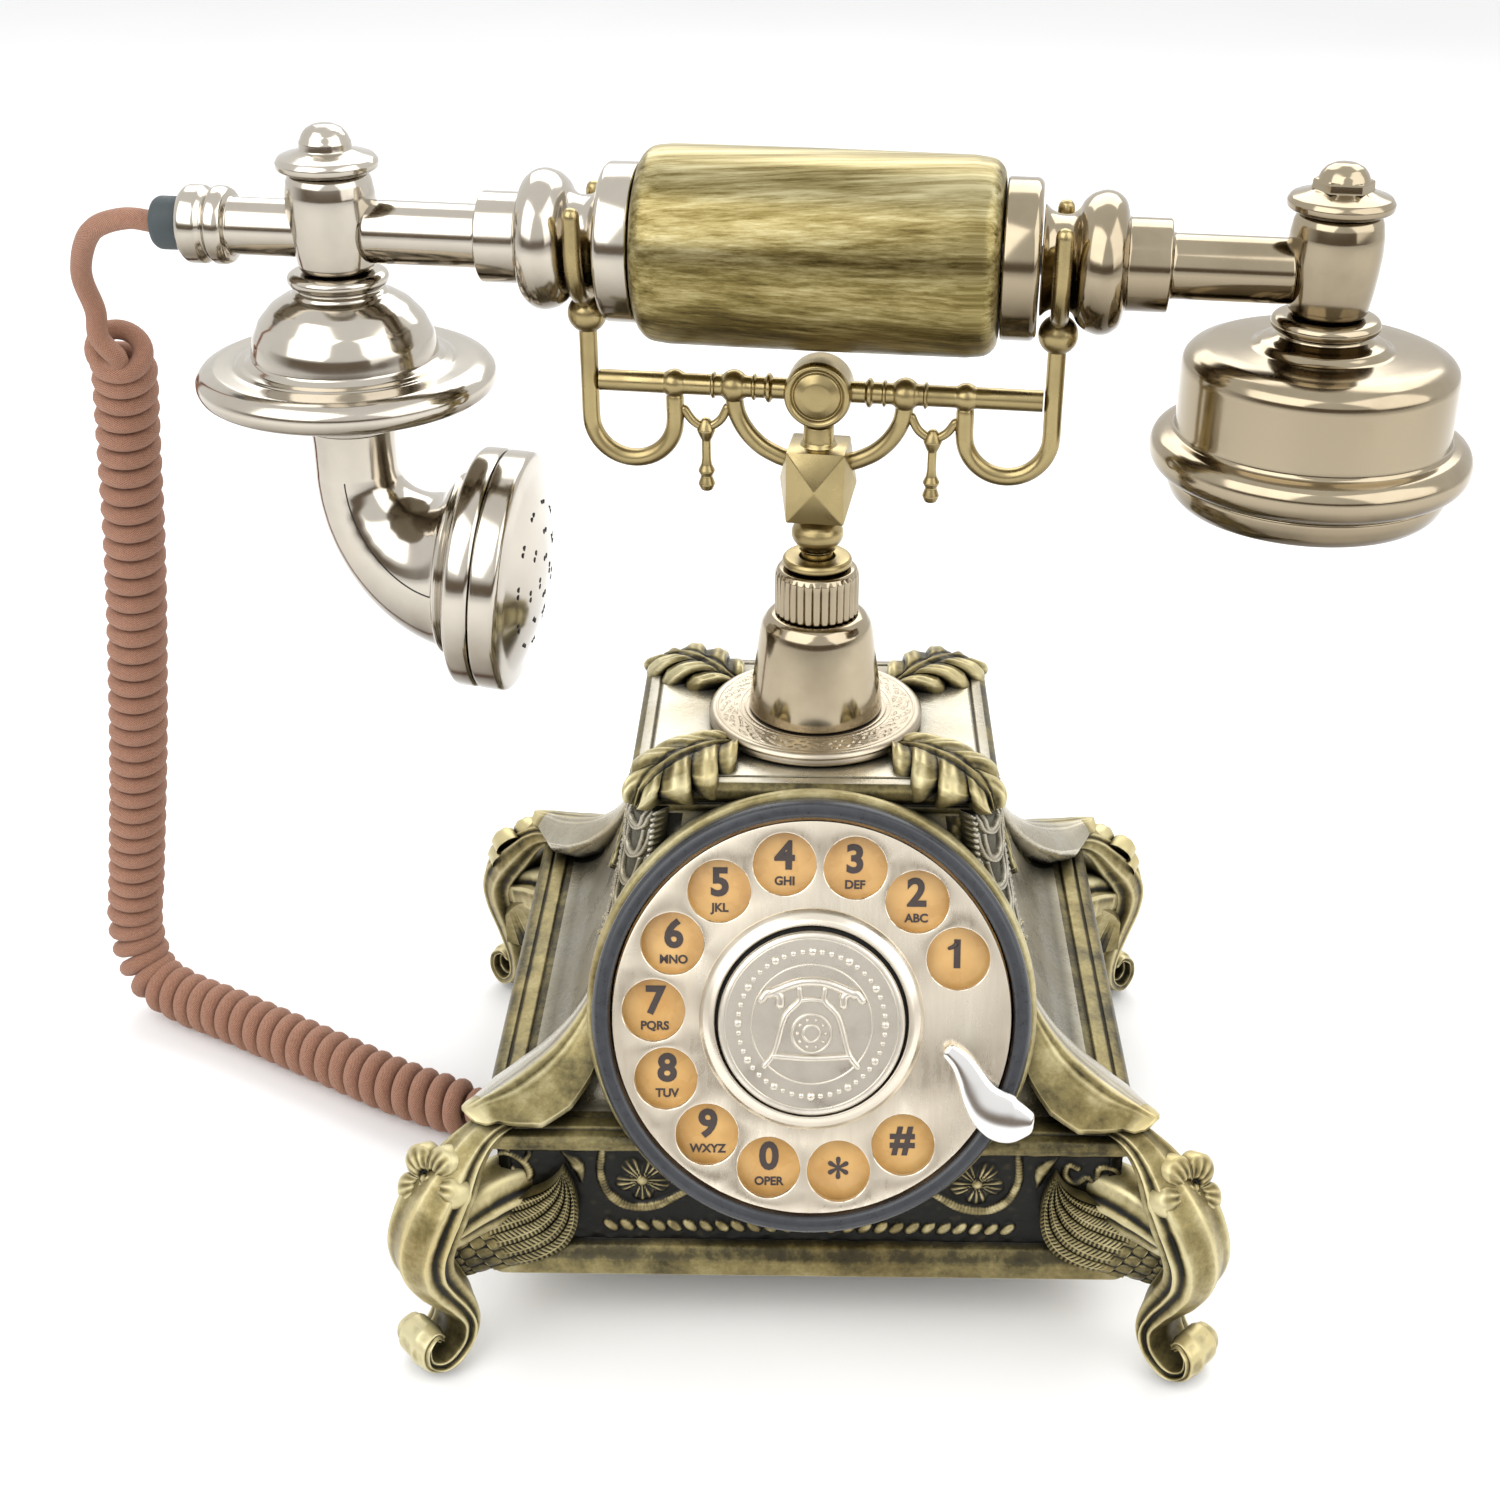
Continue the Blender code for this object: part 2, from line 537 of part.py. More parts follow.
def cradle_parts(looks, cradle):
    half = BLOCK_HALF
    low, high, middle = BLOCK_BOTTOM, BLOCK_TOP, (BLOCK_BOTTOM + BLOCK_TOP) / 2.0
    core = block("cradle_block", (-half, -half, low), (half, half, high), looks["antique"], cradle)
    for name, out in [("front_point", -1.0), ("back_point", 1.0)]:
        face = [(-half, out * (half - 0.2), low), (half, out * (half - 0.2), low),
                (half, out * (half - 0.2), high), (-half, out * (half - 0.2), high)]
        fuse(core, shell(name, [face, [(0.0, out * (half + 2.6), middle)]], parent=cradle))
    neck = turned("block_neck", [(0.0, high - 1.0), (3.3, high - 1.0), (3.3, 198.6), (0.0, 198.6)],
                  parent=cradle, sides=20)
    fuse(core, neck)
    cradle_frame(looks["antique"], cradle)
    for name, side in [("fork_left", -1.0), ("fork_right", 1.0)]:
        fork(name, side, looks["antique"], cradle)


def bead(centre, radius, half_width, steps=2):
    """Profile points of a bead standing on the bar."""
    points = []
    for i in range(steps + 1):
        share = -1.0 + 2.0 * i / steps
        rise = math.sqrt(max(0.0, 1.0 - share * share))
        points.append((max(BAR_RADIUS, radius * rise), centre + share * half_width))
    return points


def cradle_frame(look, cradle):
    half = [(BAR_RADIUS, 9.0)] + bead(10.8, 3.2, 1.1) + bead(14.0, 2.9, 0.7) + bead(18.4, 3.6, 3.4, 5)
    half += bead(22.8, 2.9, 0.7) + bead(LOOP_INNER_X, 3.1, 2.9, 5)
    half.append((BAR_RADIUS, FORK_X - ROD_RADIUS - GAP))
    profile = [(0.0, -half[-1][1])] + [(r, -x) for r, x in reversed(half)] + half + [(0.0, half[-1][1])]
    frame = turned("cradle_frame", profile, look, cradle, 14, axis="X")
    frame.location = Vector((0.0, 0.0, BAR_HEIGHT)) * METRE
    disc = [(0.0, -5.2), (7.3, -5.2), (7.3, 4.0), (6.2, 5.0), (5.2, 4.4), (0.0, 5.0)]
    boss = turned("boss_form", disc, None, cradle, 32, axis="Y")
    boss.data.transform(Matrix.Rotation(math.pi, 4, "Z"))
    boss.location = Vector((0.0, 0.0, BAR_HEIGHT)) * METRE
    fuse(frame, boss)
    arms = []
    for side in (-1.0, 1.0):
        path = [(side * x, 0.0, z) for x, z in [(18.4, 204.2), (17.8, 200.4), (15.8, 196.4),
                                                (12.4, 193.0), (9.6, 191.4), (7.4, 190.6)]]
        arms.append(swept("arm", path, 1.9, sides=10))
    fuse(frame, combined("arms_form", arms, cradle))
    fuse(frame, combined("pendants_form", [pendant(side) for side in (-1.0, 1.0)], cradle))
    stalks = []
    for side in (-1.0, 1.0):
        stalks.append(swept("link", [(side * 20.6, 0.0, 203.4), (side * 24.4, 0.0, 197.2)], 1.1,
                            sides=8))
    fuse(frame, combined("links_form", stalks, cradle))
    return frame


def pendant(side):
    profile = [(0.0, 182.2), (1.3, 182.6), (1.9, 184.0), (1.2, 185.7), (1.9, 187.4), (1.3, 188.4),
               (1.0, 190.0), (1.0, 194.2), (1.9, 195.0), (2.0, 196.8), (1.0, 198.4), (0.0, 198.8)]
    made = turned("pendant", profile, sides=12)
    made.data.transform(Matrix.Translation(Vector((side * 24.9, 0.0, 0.0)) * METRE))
    return made


def fork(name, side, look, cradle):
    """A round rod bent into a loop below and carrying a ball and a two-pronged fork."""
    reach = (FORK_X - LOOP_INNER_X) / 2.0
    middle = (FORK_X + LOOP_INNER_X) / 2.0
    path = [(FORK_X, 0.0, 221.0)]
    path += arc((middle, 0.0, LOOP_CENTRE), reach, 0.0, -180.0, 9)
    path.append((LOOP_INNER_X, 0.0, BAR_HEIGHT - 3.1 - GAP))
    body = swept(name, mirrored(path, side), ROD_RADIUS, look, cradle, 8)
    fuse(body, ball("fork_ball", (side * FORK_X, 0.0, HANDSET_HEIGHT - 15.4), 4.2, parent=cradle))
    bend = NECK_RADIUS + GAP + ROD_RADIUS
    prongs = [(side * FORK_X, -bend, HANDSET_HEIGHT + 8.6), (side * FORK_X, -bend, HANDSET_HEIGHT + 4.0)]
    prongs += arc((side * FORK_X, 0.0, HANDSET_HEIGHT), bend, 180.0, 360.0, 9, "YZ")
    prongs += [(side * FORK_X, bend, HANDSET_HEIGHT + 4.0), (side * FORK_X, bend, HANDSET_HEIGHT + 8.6)]
    fuse(body, swept("prongs_form", prongs, [1.5] + [ROD_RADIUS] * 12 + [1.5], None, cradle, 8))


def handset_parts(looks, handset):
    grip = [(8.0, -37.5), (16.4, -37.5), (18.6, -36.6), (20.2, -33.6), (20.4, -29.0), (20.4, 29.0),
            (20.2, 33.6), (18.6, 36.6), (16.4, 37.5), (8.0, 37.5)]
    turned("handset_grip", grip, looks["grip"], handset, 40, loop=True, axis="X")
    turned("tie_rod", [(0.0, -94.0), (3.0, -94.0), (3.0, 94.0), (0.0, 94.0)], looks["steel"], handset,
           14, axis="X")
    for name, side in [("left", -1.0), ("right", 1.0)]:
        collar = [(BORE, 37.8), (16.4, 37.8), (16.4, 44.4), (15.6, 45.2), (BORE, 45.2)]
        turned(f"collar_{name}", flipped(collar, side), looks["polished"], handset, 40, loop=True,
               axis="X")
        arm = [(BORE, 45.5), (11.6, 45.5), (10.0, 46.8), (NECK_RADIUS, 48.8), (NECK_RADIUS, 51.0),
               (10.6, 52.6), (12.6, 53.6), (14.4, 56.2), (14.6, 58.6), (13.0, 61.6), (9.4, 63.0),
               (9.4, 71.2), (6.6, 71.4), (6.6, TEE_X - 7.6), (BORE, TEE_X - 7.6)]
        turned(f"arm_{name}", flipped(arm, side), looks["polished"], handset, 36, loop=True, axis="X")
        tee(name, side, looks["polished"], handset)
        finial = [(0.0, 249.0), (8.9, 249.0), (10.7, 249.6), (10.7, 251.6), (9.4, 252.6), (5.4, 252.9),
                  (5.1, 254.6), (4.2, 256.8), (2.2, 258.2), (0.0, 258.6)]
        upright(turned(f"finial_{name}", finial, looks["polished"], handset, 28), side)
    tail = [(BORE, -99.8), (6.0, -99.8), (6.0, -125.8), (8.0, -126.2), (8.2, -129.4), (7.2, -130.4),
            (8.2, -131.4), (8.2, -135.2), (7.2, -136.2), (BORE, -136.2)]
    turned("tail_ferrule", tail, looks["polished"], handset, 32, loop=True, axis="X")
    relief = [(2.7, -130.0), (3.0, -130.0), (3.0, -136.5), (5.6, -136.5), (5.6, -141.6), (4.8, -142.8),
              (2.7, -142.8)]
    turned("strain_relief", relief, looks["rubber"], handset, 24, loop=True, axis="X")


def flipped(profile, side):
    return [(radius, along * side) for radius, along in profile]


def upright(made, side):
    """Stands a body drawn at its real height on a tee's axis."""
    made.location = Vector((side * TEE_X, 0.0, -HANDSET_HEIGHT)) * METRE
    return made


def tee(name, side, look, handset):
    profile = [(0.0, 228.2), (TEE_RADIUS - 1.7, 228.2), (TEE_RADIUS - 1.2, 230.0),
               (TEE_RADIUS - 0.2, 236.0), (TEE_RADIUS, 241.0), (TEE_RADIUS - 0.4, 246.0),
               (TEE_RADIUS - 1.3, 248.7), (0.0, 248.7)]
    body = upright(turned(f"tee_{name}", profile, look, handset, 32), side)
    reach = TEE_X - TEE_RADIUS - 0.5
    hole = [(0.0, reach), (6.9, reach), (6.9, TEE_X - 7.2), (0.0, TEE_X - 7.2)]
    cut(body, turned(f"{name}_arm_hole", flipped(hole, side), None, handset, 24, axis="X"))
    if side < 0.0:
        hole = [(0.0, -99.4), (6.3, -99.4), (6.3, -114.0), (0.0, -114.0)]
        cut(body, turned("tail_hole", hole, None, handset, 24, axis="X"))


def mouthpiece(looks, handset):
    bell = [(0.0, 227.9), (9.6, 227.9), (10.8, 226.8), (10.4, 225.4), (9.0, 224.6), (9.6, 223.2),
            (13.6, 221.6), (17.8, 218.0), (19.9, 213.4), (20.2, 209.8), (22.6, 208.8), (25.4, 208.4),
            (29.6, 208.2), (31.6, 206.8), (32.4, 204.6), (31.4, 202.2), (28.8, 201.2), (24.0, 202.4),
            (14.0, 202.6), (12.2, 201.6), (0.0, 201.6)]
    upright(turned("bell_flange", bell, looks["polished"], handset, 48), -1.0)
    horn(looks["polished"], handset)
    centre, turn = horn_mouth()
    face = axis_empty("mouth_axis", centre, (0.0, 0.0, 0.0), handset)
    face.rotation_euler = (0.0, math.radians(turn), 0.0)
    cap = [(0.0, 5.6), (8.0, 5.0), (16.0, 3.4), (22.6, 1.4), (26.2, 0.4), (27.3, -0.8), (27.3, -5.5),
           (25.2, -5.5), (25.2, -7.4), (23.6, -7.4), (23.6, -1.2), (16.0, 1.6), (8.0, 3.2), (0.0, 3.8)]
    grille = turned("mouth_cap", cap, looks["polished"], face, 40)
    holes = []
    for ring, count in [(0.0, 1), (12.5, 6)]:
        for i in range(count):
            angle = 2.0 * math.pi * i / count
            hole = turned("hole", [(0.0, -4.0), (1.1, -4.0), (1.1, 8.0), (0.0, 8.0)], sides=8)
            centre = Vector((ring * math.cos(angle), ring * math.sin(angle), 0.0)) * METRE
            hole.data.transform(Matrix.Translation(centre))
            holes.append(hole)
    cut(grille, combined("grille_holes", holes, face))
    turned("microphone", [(0.0, -9.5), (16.0, -9.5), (16.0, -2.4), (0.0, -2.4)], looks["plastic"], face,
           28)


def horn_mouth():
    """Centre of the horn's mouth in the handset's frame, and its turn about Y."""
    return (-67.6, 0.0, 160.0 - HANDSET_HEIGHT), 90.0 + (90.0 - HORN_BEND)


def horn(look, handset):
    """A flaring elbow that leaves the bell downward and bends toward the grip; open at its mouth."""
    mouth = Vector(horn_mouth()[0])
    bend = math.radians(HORN_BEND)
    away = Vector((math.sin(bend), 0.0, -math.cos(bend)))
    pipe_end = mouth - away * 16.0
    turn = (pipe_end.x + TEE_X) / (1.0 - math.cos(bend))
    level = pipe_end.z + turn * math.sin(bend)
    line = [Vector((-TEE_X, 0.0, height - HANDSET_HEIGHT)) for height in (201.3, 196.8, 191.8)]
    steps = 8
    for i in range(steps + 1):
        angle = bend * i / steps
        line.append(Vector((turn * (1.0 - math.cos(angle)) - TEE_X, 0.0, level - turn * math.sin(angle))))
    line += [mouth - away * back for back in (14.6, 12.4, 10.8, 5.8)]
    outer = [11.4, 10.6, 9.0, 9.2, 9.6, 10.4, 11.4, 12.6, 14.0, 15.6, 17.4, 19.2, 20.4, 24.8, 27.2, 27.2]
    inner_rings = horn_rings(line, [radius - 1.6 for radius in outer])
    rings = horn_rings(line, outer) + list(reversed(inner_rings[2:]))
    shell("horn_elbow", rings, look, handset)


def horn_rings(path, radii, sides=20):
    rings = []
    last = len(path) - 1
    for i, point in enumerate(path):
        along = (path[min(i + 1, last)] - path[max(i - 1, 0)]).normalized()
        across = Vector((0.0, 1.0, 0.0))
        other = along.cross(across)
        ring = []
        for k in range(sides):
            angle = 2.0 * math.pi * k / sides
            ring.append(point + (across * math.cos(angle) + other * math.sin(angle)) * radii[i])
        rings.append(ring)
    return rings


def earpiece(looks, handset):
    outer = [(3.0, 227.9), (9.6, 227.9), (11.2, 226.8), (10.8, 225.4), (9.2, 224.6), (9.8, 223.4),
             (13.2, 222.0), (14.0, 221.3), (22.0, 221.0), (26.6, 219.8), (28.4, 217.2), (28.4, 203.6),
             (31.4, 202.4), (33.4, 200.2), (33.4, 197.2), (31.8, 195.0), (29.8, 194.2), (27.2, 194.2),
             (27.2, 216.4), (24.8, 218.6), (12.0, 219.6), (3.0, 222.0)]
    upright(turned("receiver_shell", outer, looks["polished"], handset, 48, loop=True), 1.0)
    cap = [(2.2, 190.6), (4.6, 189.8), (16.0, 189.0), (25.0, 187.4), (27.0, 187.8), (28.6, 189.6),
           (29.6, 192.0), (29.6, 193.9), (26.0, 193.9), (26.0, 191.6), (2.2, 192.6)]
    upright(turned("ear_cap", cap, looks["polished"], handset, 48, loop=True), 1.0)
    capsule = [(0.0, 193.2), (24.0, 193.2), (24.0, 203.4), (18.0, 207.4), (0.0, 207.4)]
    upright(turned("receiver_capsule", capsule, looks["plastic"], handset, 32), 1.0)


def curve_points(controls, spacing):
    """Evenly spaced points on a Catmull-Rom curve through the controls."""
    points = [Vector(p) for p in controls]
    points = [points[0] * 2 - points[1]] + points + [points[-1] * 2 - points[-2]]
    dense = []
    for a, b, c, d in zip(points, points[1:], points[2:], points[3:]):
        for i in range(40):
            t = i / 40.0
            dense.append(0.5 * ((2 * b) + (c - a) * t + (2 * a - 5 * b + 4 * c - d) * t * t
                                + (3 * b - a - 3 * c + d) * t ** 3))
    dense.append(points[-2])
    total = sum((q - p).length for p, q in zip(dense, dense[1:]))
    count = max(2, round(total / spacing))
    wanted, travelled, kept = total / count, 0.0, [dense[0]]
    for p, q in zip(dense, dense[1:]):
        travelled += (q - p).length
        if travelled >= wanted * len(kept) and len(kept) < count:
            kept.append(q)
    kept.append(dense[-1])
    return kept


def tube(name, controls, radius, spacing, look, resolution):
    data = bpy.data.curves.new(name, "CURVE")
    data.dimensions = "3D"
    data.bevel_depth = radius * METRE
    data.bevel_resolution = resolution
    data.use_fill_caps = True
    data.render_resolution_u = 0
    points = curve_points(controls, spacing)
    line = data.splines.new("POLY")
    line.points.add(len(points) - 1)
    for slot, point in zip(line.points, points):
        slot.co = (*(point * METRE), 1.0)
    data.materials.append(look)
    made = bpy.data.objects.new(name, data)
    bpy.context.collection.objects.link(made)
    return made


def cord_parts(look):
    turn = math.radians(YAW)
    exit_x, exit_y = -143.1 * math.cos(turn), -143.1 * math.sin(turn)
    away = Vector((-math.cos(turn), -math.sin(turn), 0.0))
    start = Vector((exit_x, exit_y, HANDSET_HEIGHT))
    top = [start, start + away * 7.0 + Vector((0, 0.5, 0.4)),
           start + away * 16.0 + Vector((0, 3.0, -3.5)), start + away * 21.5 + Vector((0, 8.0, -14.0)),
           start + away * 17.0 + Vector((0, 15.0, -26.0)), (-159.5, 36.0, 202.5), (-160.8, 38.2, 197.5)]
    tube("cord_lead_top", top, CORD_RADIUS, 6.0, look, 2)
    coil = [(-161.0, 38.6, 196.9), (-164.0, 43.0, 180.0), (-170.0, 50.0, 140.0), (-178.5, 57.0, 90.0),
            (-187.0, 62.5, 45.0), (-190.5, 63.5, 25.0), (-186.5, 60.0, 11.6),
            (-176.0, 54.0, COIL_RADIUS + 0.3), (-160.0, 45.0, COIL_RADIUS + 0.3),
            (-130.0, 27.0, COIL_RADIUS + 0.3), (-110.0, 15.0, COIL_RADIUS + 0.3),
            (-93.5, 5.6, COIL_RADIUS + 0.3)]
    tube("cord_coil", coil, COIL_RADIUS, 12.0, look, 3)
    bottom = [(-93.0, 5.3, COIL_RADIUS + 0.3), (-82.0, 1.8, 6.4), (-70.0, 0.6, 4.4), (-60.0, 0.1, 3.6),
              (-51.0, 0.0, 5.2), (-46.2, 0.0, 10.5), (-45.0, 0.0, 16.0), (-45.0, 0.0, 24.0)]
    tube("cord_lead_bottom", bottom, CORD_RADIUS, 5.0, look, 2)


def main():
    clear_scene()
    looks = {
        "resin": material("base_resin", (0.25, 0.21, 0.12), 0.7, 0.45),
        "bezel": material("bezel_black", (0.03, 0.035, 0.04), 0.1, 0.3),
        "amber": material("number_amber", (0.80, 0.48, 0.16), 0.0, 0.35),
        "nickel": material("satin_nickel", (0.66, 0.60, 0.52), 1.0, 0.3),
        "polished": material("polished_nickel", (0.70, 0.65, 0.58), 1.0, 0.12),
        "antique": material("antique_brass", (0.42, 0.35, 0.20), 1.0, 0.32),
        "grip": material("brushed_brass", (0.40, 0.33, 0.14), 1.0, 0.38),
        "button": material("silver_button", (0.58, 0.56, 0.55), 1.0, 0.34),
        "silver": material("bright_silver", (0.85, 0.84, 0.82), 1.0, 0.12),
        "steel": material("plain_steel", (0.45, 0.46, 0.47), 1.0, 0.4),
        "brass": material("plain_brass", (0.70, 0.55, 0.26), 1.0, 0.3),
        "spring": material("spring_steel", (0.35, 0.36, 0.38), 1.0, 0.35),
        "board": material("green_board", (0.04, 0.18, 0.07), 0.0, 0.5),
        "plastic": material("black_plastic", (0.03, 0.03, 0.03), 0.0, 0.5),
        "coil": material("copper_coil", (0.50, 0.22, 0.10), 0.8, 0.4),
        "rubber": material("slate_rubber", (0.08, 0.10, 0.11), 0.0, 0.7),
        "cord": material("braided_cord", (0.33, 0.20, 0.10), 0.0, 0.75),
    }
    dial = axis_empty("dial_axis", DIAL_CENTRE, (math.radians(90.0 - DIAL_LEAN), 0.0, 0.0))
    cradle = axis_empty("cradle_axis", (0.0, 0.0, 0.0), (0.0, 0.0, math.radians(YAW)))
    handset = axis_empty("handset_axis", (0.0, 0.0, HANDSET_HEIGHT), (0.0, 0.0, math.radians(YAW)))
    base_shell(looks["resin"], dial)
    bottom_cover(looks["plastic"], looks["steel"])
    dial_fixed_parts(looks, dial)
    dial_moving_parts(looks, dial)
    ringer_parts(looks)
    electric_parts(looks)
    hook_parts(looks)
    stem_parts(looks)
    plunger(looks["antique"])
    cradle_parts(looks, cradle)
    handset_parts(looks, handset)
    mouthpiece(looks, handset)
    earpiece(looks, handset)
    cord_parts(looks["cord"])


main()
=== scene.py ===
"""Looks of the ornate rotary telephone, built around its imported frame. Lengths are in millimetres."""

import math

import bmesh
import bpy
import numpy as np
from mathutils import Matrix, Vector


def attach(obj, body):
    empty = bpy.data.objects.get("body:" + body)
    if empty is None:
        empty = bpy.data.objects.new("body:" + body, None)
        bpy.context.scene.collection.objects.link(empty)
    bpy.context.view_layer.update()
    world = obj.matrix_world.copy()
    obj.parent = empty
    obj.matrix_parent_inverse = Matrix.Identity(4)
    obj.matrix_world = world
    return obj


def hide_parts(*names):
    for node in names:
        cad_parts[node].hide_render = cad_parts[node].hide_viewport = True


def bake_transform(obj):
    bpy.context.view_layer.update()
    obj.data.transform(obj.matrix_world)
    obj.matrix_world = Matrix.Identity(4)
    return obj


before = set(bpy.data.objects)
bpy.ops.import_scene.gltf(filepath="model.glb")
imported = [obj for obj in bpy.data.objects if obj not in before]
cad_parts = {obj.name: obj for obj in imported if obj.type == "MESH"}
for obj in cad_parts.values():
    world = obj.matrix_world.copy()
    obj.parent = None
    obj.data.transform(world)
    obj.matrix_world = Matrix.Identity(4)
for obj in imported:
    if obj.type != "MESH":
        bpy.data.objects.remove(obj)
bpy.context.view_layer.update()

MM = 0.001
YAW = math.radians(-6.5)
HANDSET_Z = 236.5
TEE_X = 103.8
MOUTH = (-67.6, 0.0, 160.0 - HANDSET_Z)
DIAL = Vector((0.0, -60.0, 85.3))
LEAN = math.radians(23.0)
CORD_DIAMETER = 4.7
COIL_RADIUS = 5.3
CORD_TURNS = 61
HOLE_RING = 34.3  # distance of the finger holes from the dial's middle
HOLE_RADIUS = 6.8
FIRST_HOLE = math.radians(23.3)
HOLE_STEP = math.radians(360.0 / 14.0)
PLATE_TOP = -5.12  # the number plate's face, along the dial's axis
HORN_BEND = math.radians(85.0)

DIAL_PLACE = Matrix.Translation(DIAL) @ Matrix.Rotation(math.pi / 2 - LEAN, 4, "X")
HANDSET_PLACE = Matrix.Translation((0, 0, HANDSET_Z)) @ Matrix.Rotation(YAW, 4, "Z")
CRADLE_PLACE = Matrix.Rotation(YAW, 4, "Z")
WORLD = Matrix.Identity(4)


# ---------------------------------------------------------------- materials


class Look:
    """A node material under construction."""

    def __init__(self, name):
        self.material = bpy.data.materials.new(name)
        self.material.use_nodes = True
        self.tree = self.material.node_tree
        self.shader = self.tree.nodes["Principled BSDF"]
        self.coords = self.add("ShaderNodeTexCoord").outputs["Object"]

    def add(self, kind, **settings):
        node = self.tree.nodes.new(kind)
        for key, value in settings.items():
            setattr(node, key, value)
        return node

    def link(self, source, target):
        self.tree.links.new(source, target)

    def set(self, **values):
        for key, value in values.items():
            self.shader.inputs[key.replace("_", " ")].default_value = value

    def noise(self, scale, detail=4.0, rough=0.55, stretch=None, coords=None):
        source = coords or self.coords
        if stretch:
            mapping = self.add("ShaderNodeMapping")
            mapping.inputs["Scale"].default_value = stretch
            self.link(source, mapping.inputs["Vector"])
            source = mapping.outputs["Vector"]
        node = self.add("ShaderNodeTexNoise")
        node.inputs["Scale"].default_value = scale
        node.inputs["Detail"].default_value = detail
        node.inputs["Roughness"].default_value = rough
        self.link(source, node.inputs["Vector"])
        return node.outputs["Fac"]

    def warped(self, reach, scale):
        """The coordinates, pushed about by a noise."""
        noise = self.add("ShaderNodeTexNoise")
        noise.inputs["Scale"].default_value = scale
        self.link(self.coords, noise.inputs["Vector"])
        push = self.add("ShaderNodeVectorMath", operation="MULTIPLY_ADD")
        push.inputs[1].default_value = (reach, reach, reach)
        self.link(noise.outputs["Color"], push.inputs[0])
        self.link(self.coords, push.inputs[2])
        return push.outputs[0]

    def attribute(self, name):
        return self.add("ShaderNodeAttribute", attribute_name=name).outputs["Fac"]

    def ramp(self, source, stops):
        node = self.add("ShaderNodeValToRGB")
        points = node.color_ramp.elements
        while len(points) < len(stops):
            points.new(0.5)
        for point, (position, colour) in zip(points, stops):
            point.position = position
            value = colour if isinstance(colour, tuple) else (colour, colour, colour)
            point.color = (*value, 1.0)
        self.link(source, node.inputs["Fac"])
        return node.outputs["Color"]

    def mix(self, share, first, second, blend="MIX"):
        node = self.add("ShaderNodeMix", data_type="RGBA", blend_type=blend)
        for socket, value in ((node.inputs[0], share), (node.inputs[6], first), (node.inputs[7], second)):
            if isinstance(value, bpy.types.NodeSocket):
                self.link(value, socket)
            elif isinstance(value, tuple):
                socket.default_value = (*value, 1.0)
            else:
                socket.default_value = value
        return node.outputs[2]

    def maths(self, operation, first, second):
        node = self.add("ShaderNodeMath", operation=operation)
        for socket, value in zip(node.inputs, (first, second)):
            if isinstance(value, bpy.types.NodeSocket):
                self.link(value, socket)
            else:
                socket.default_value = value
        return node.outputs[0]

    def span(self, source, low, high, to_low, to_high):
        node = self.add("ShaderNodeMapRange")
        self.link(source, node.inputs["Value"])
        for key, value in (("From Min", low), ("From Max", high), ("To Min", to_low), ("To Max", to_high)):
            node.inputs[key].default_value = value
        return node.outputs["Result"]

    def bump(self, height, strength, distance):
        node = self.add("ShaderNodeBump")
        node.inputs["Strength"].default_value = strength
        node.inputs["Distance"].default_value = distance * MM
        self.link(height, node.inputs["Height"])
        self.link(node.outputs["Normal"], self.shader.inputs["Normal"])

    def colour(self, source):
        self.link(source, self.shader.inputs["Base Color"])

    def rough(self, source):
        self.link(source, self.shader.inputs["Roughness"])


def resin(name, hollow, middle, high, bright, metal=0.62, rough=(0.30, 0.52), shift=0.0, shine=0.0,
          carved=0.0, dirty=0.42):
    """Cast resin with a rubbed antique finish: dark in its hollows, gold on its high points, and painted
    shade from ambient occlusion darkening its creases.
    """
    look = Look(name)
    wear = look.attribute("wear")
    blotch = look.noise(95.0, 6.0, 0.65)
    fine = look.noise(900.0, 4.0, 0.6)
    dirt = look.maths("MULTIPLY", look.maths("SUBTRACT", blotch, 0.5), dirty)
    grain = look.maths("MULTIPLY", look.maths("SUBTRACT", fine, 0.5), 0.20)
    level = look.maths("ADD", look.maths("ADD", wear, dirt), grain)
    level = look.maths("ADD", level, shift)
    relief = look.maths("ADD", look.maths("MULTIPLY", fine, 0.5), blotch)
    if carved:
        cells = look.add("ShaderNodeTexVoronoi", feature="SMOOTH_F1")
        cells.inputs["Scale"].default_value = 310.0
        cells.inputs["Smoothness"].default_value = 0.5
        look.link(look.warped(0.0035, 170.0), cells.inputs["Vector"])
        hollows = look.span(cells.outputs["Distance"], 0.15, 0.65, 0.5, -0.5)
        level = look.maths("ADD", level, look.maths("MULTIPLY", hollows, carved))
        relief = look.maths("ADD", relief, look.maths("MULTIPLY", hollows, 4.0 * carved))
    shade = look.ramp(level, [(0.20, hollow), (0.40, middle), (0.60, high), (0.88, bright)])
    tint = look.noise(38.0, 3.0, 0.5)
    warm = look.mix(look.span(tint, 0.35, 0.7, 0.0, 0.55), shade, (0.30, 0.245, 0.135), "OVERLAY")
    # painted shade: ambient occlusion within 5 mm multiplies the colour towards near black in creases and
    # where parts meet
    near = look.add("ShaderNodeAmbientOcclusion", samples=6)
    near.inputs["Distance"].default_value = 5.0 * MM
    shadow = look.span(near.outputs["AO"], 0.25, 0.85, 0.10, 1.0)
    look.colour(look.mix(1.0, warm, look.ramp(shadow, [(0.0, (0.05, 0.055, 0.05)), (1.0, (1.0, 1.0, 1.0))]),
                         "MULTIPLY"))
    look.rough(look.span(blotch, 0.3, 0.75, rough[0], rough[1]))
    look.set(Metallic=metal, Coat_Weight=shine, Coat_Roughness=0.25)
    look.bump(relief, 0.35 + 0.4 * carved, 0.25)
    return look.material


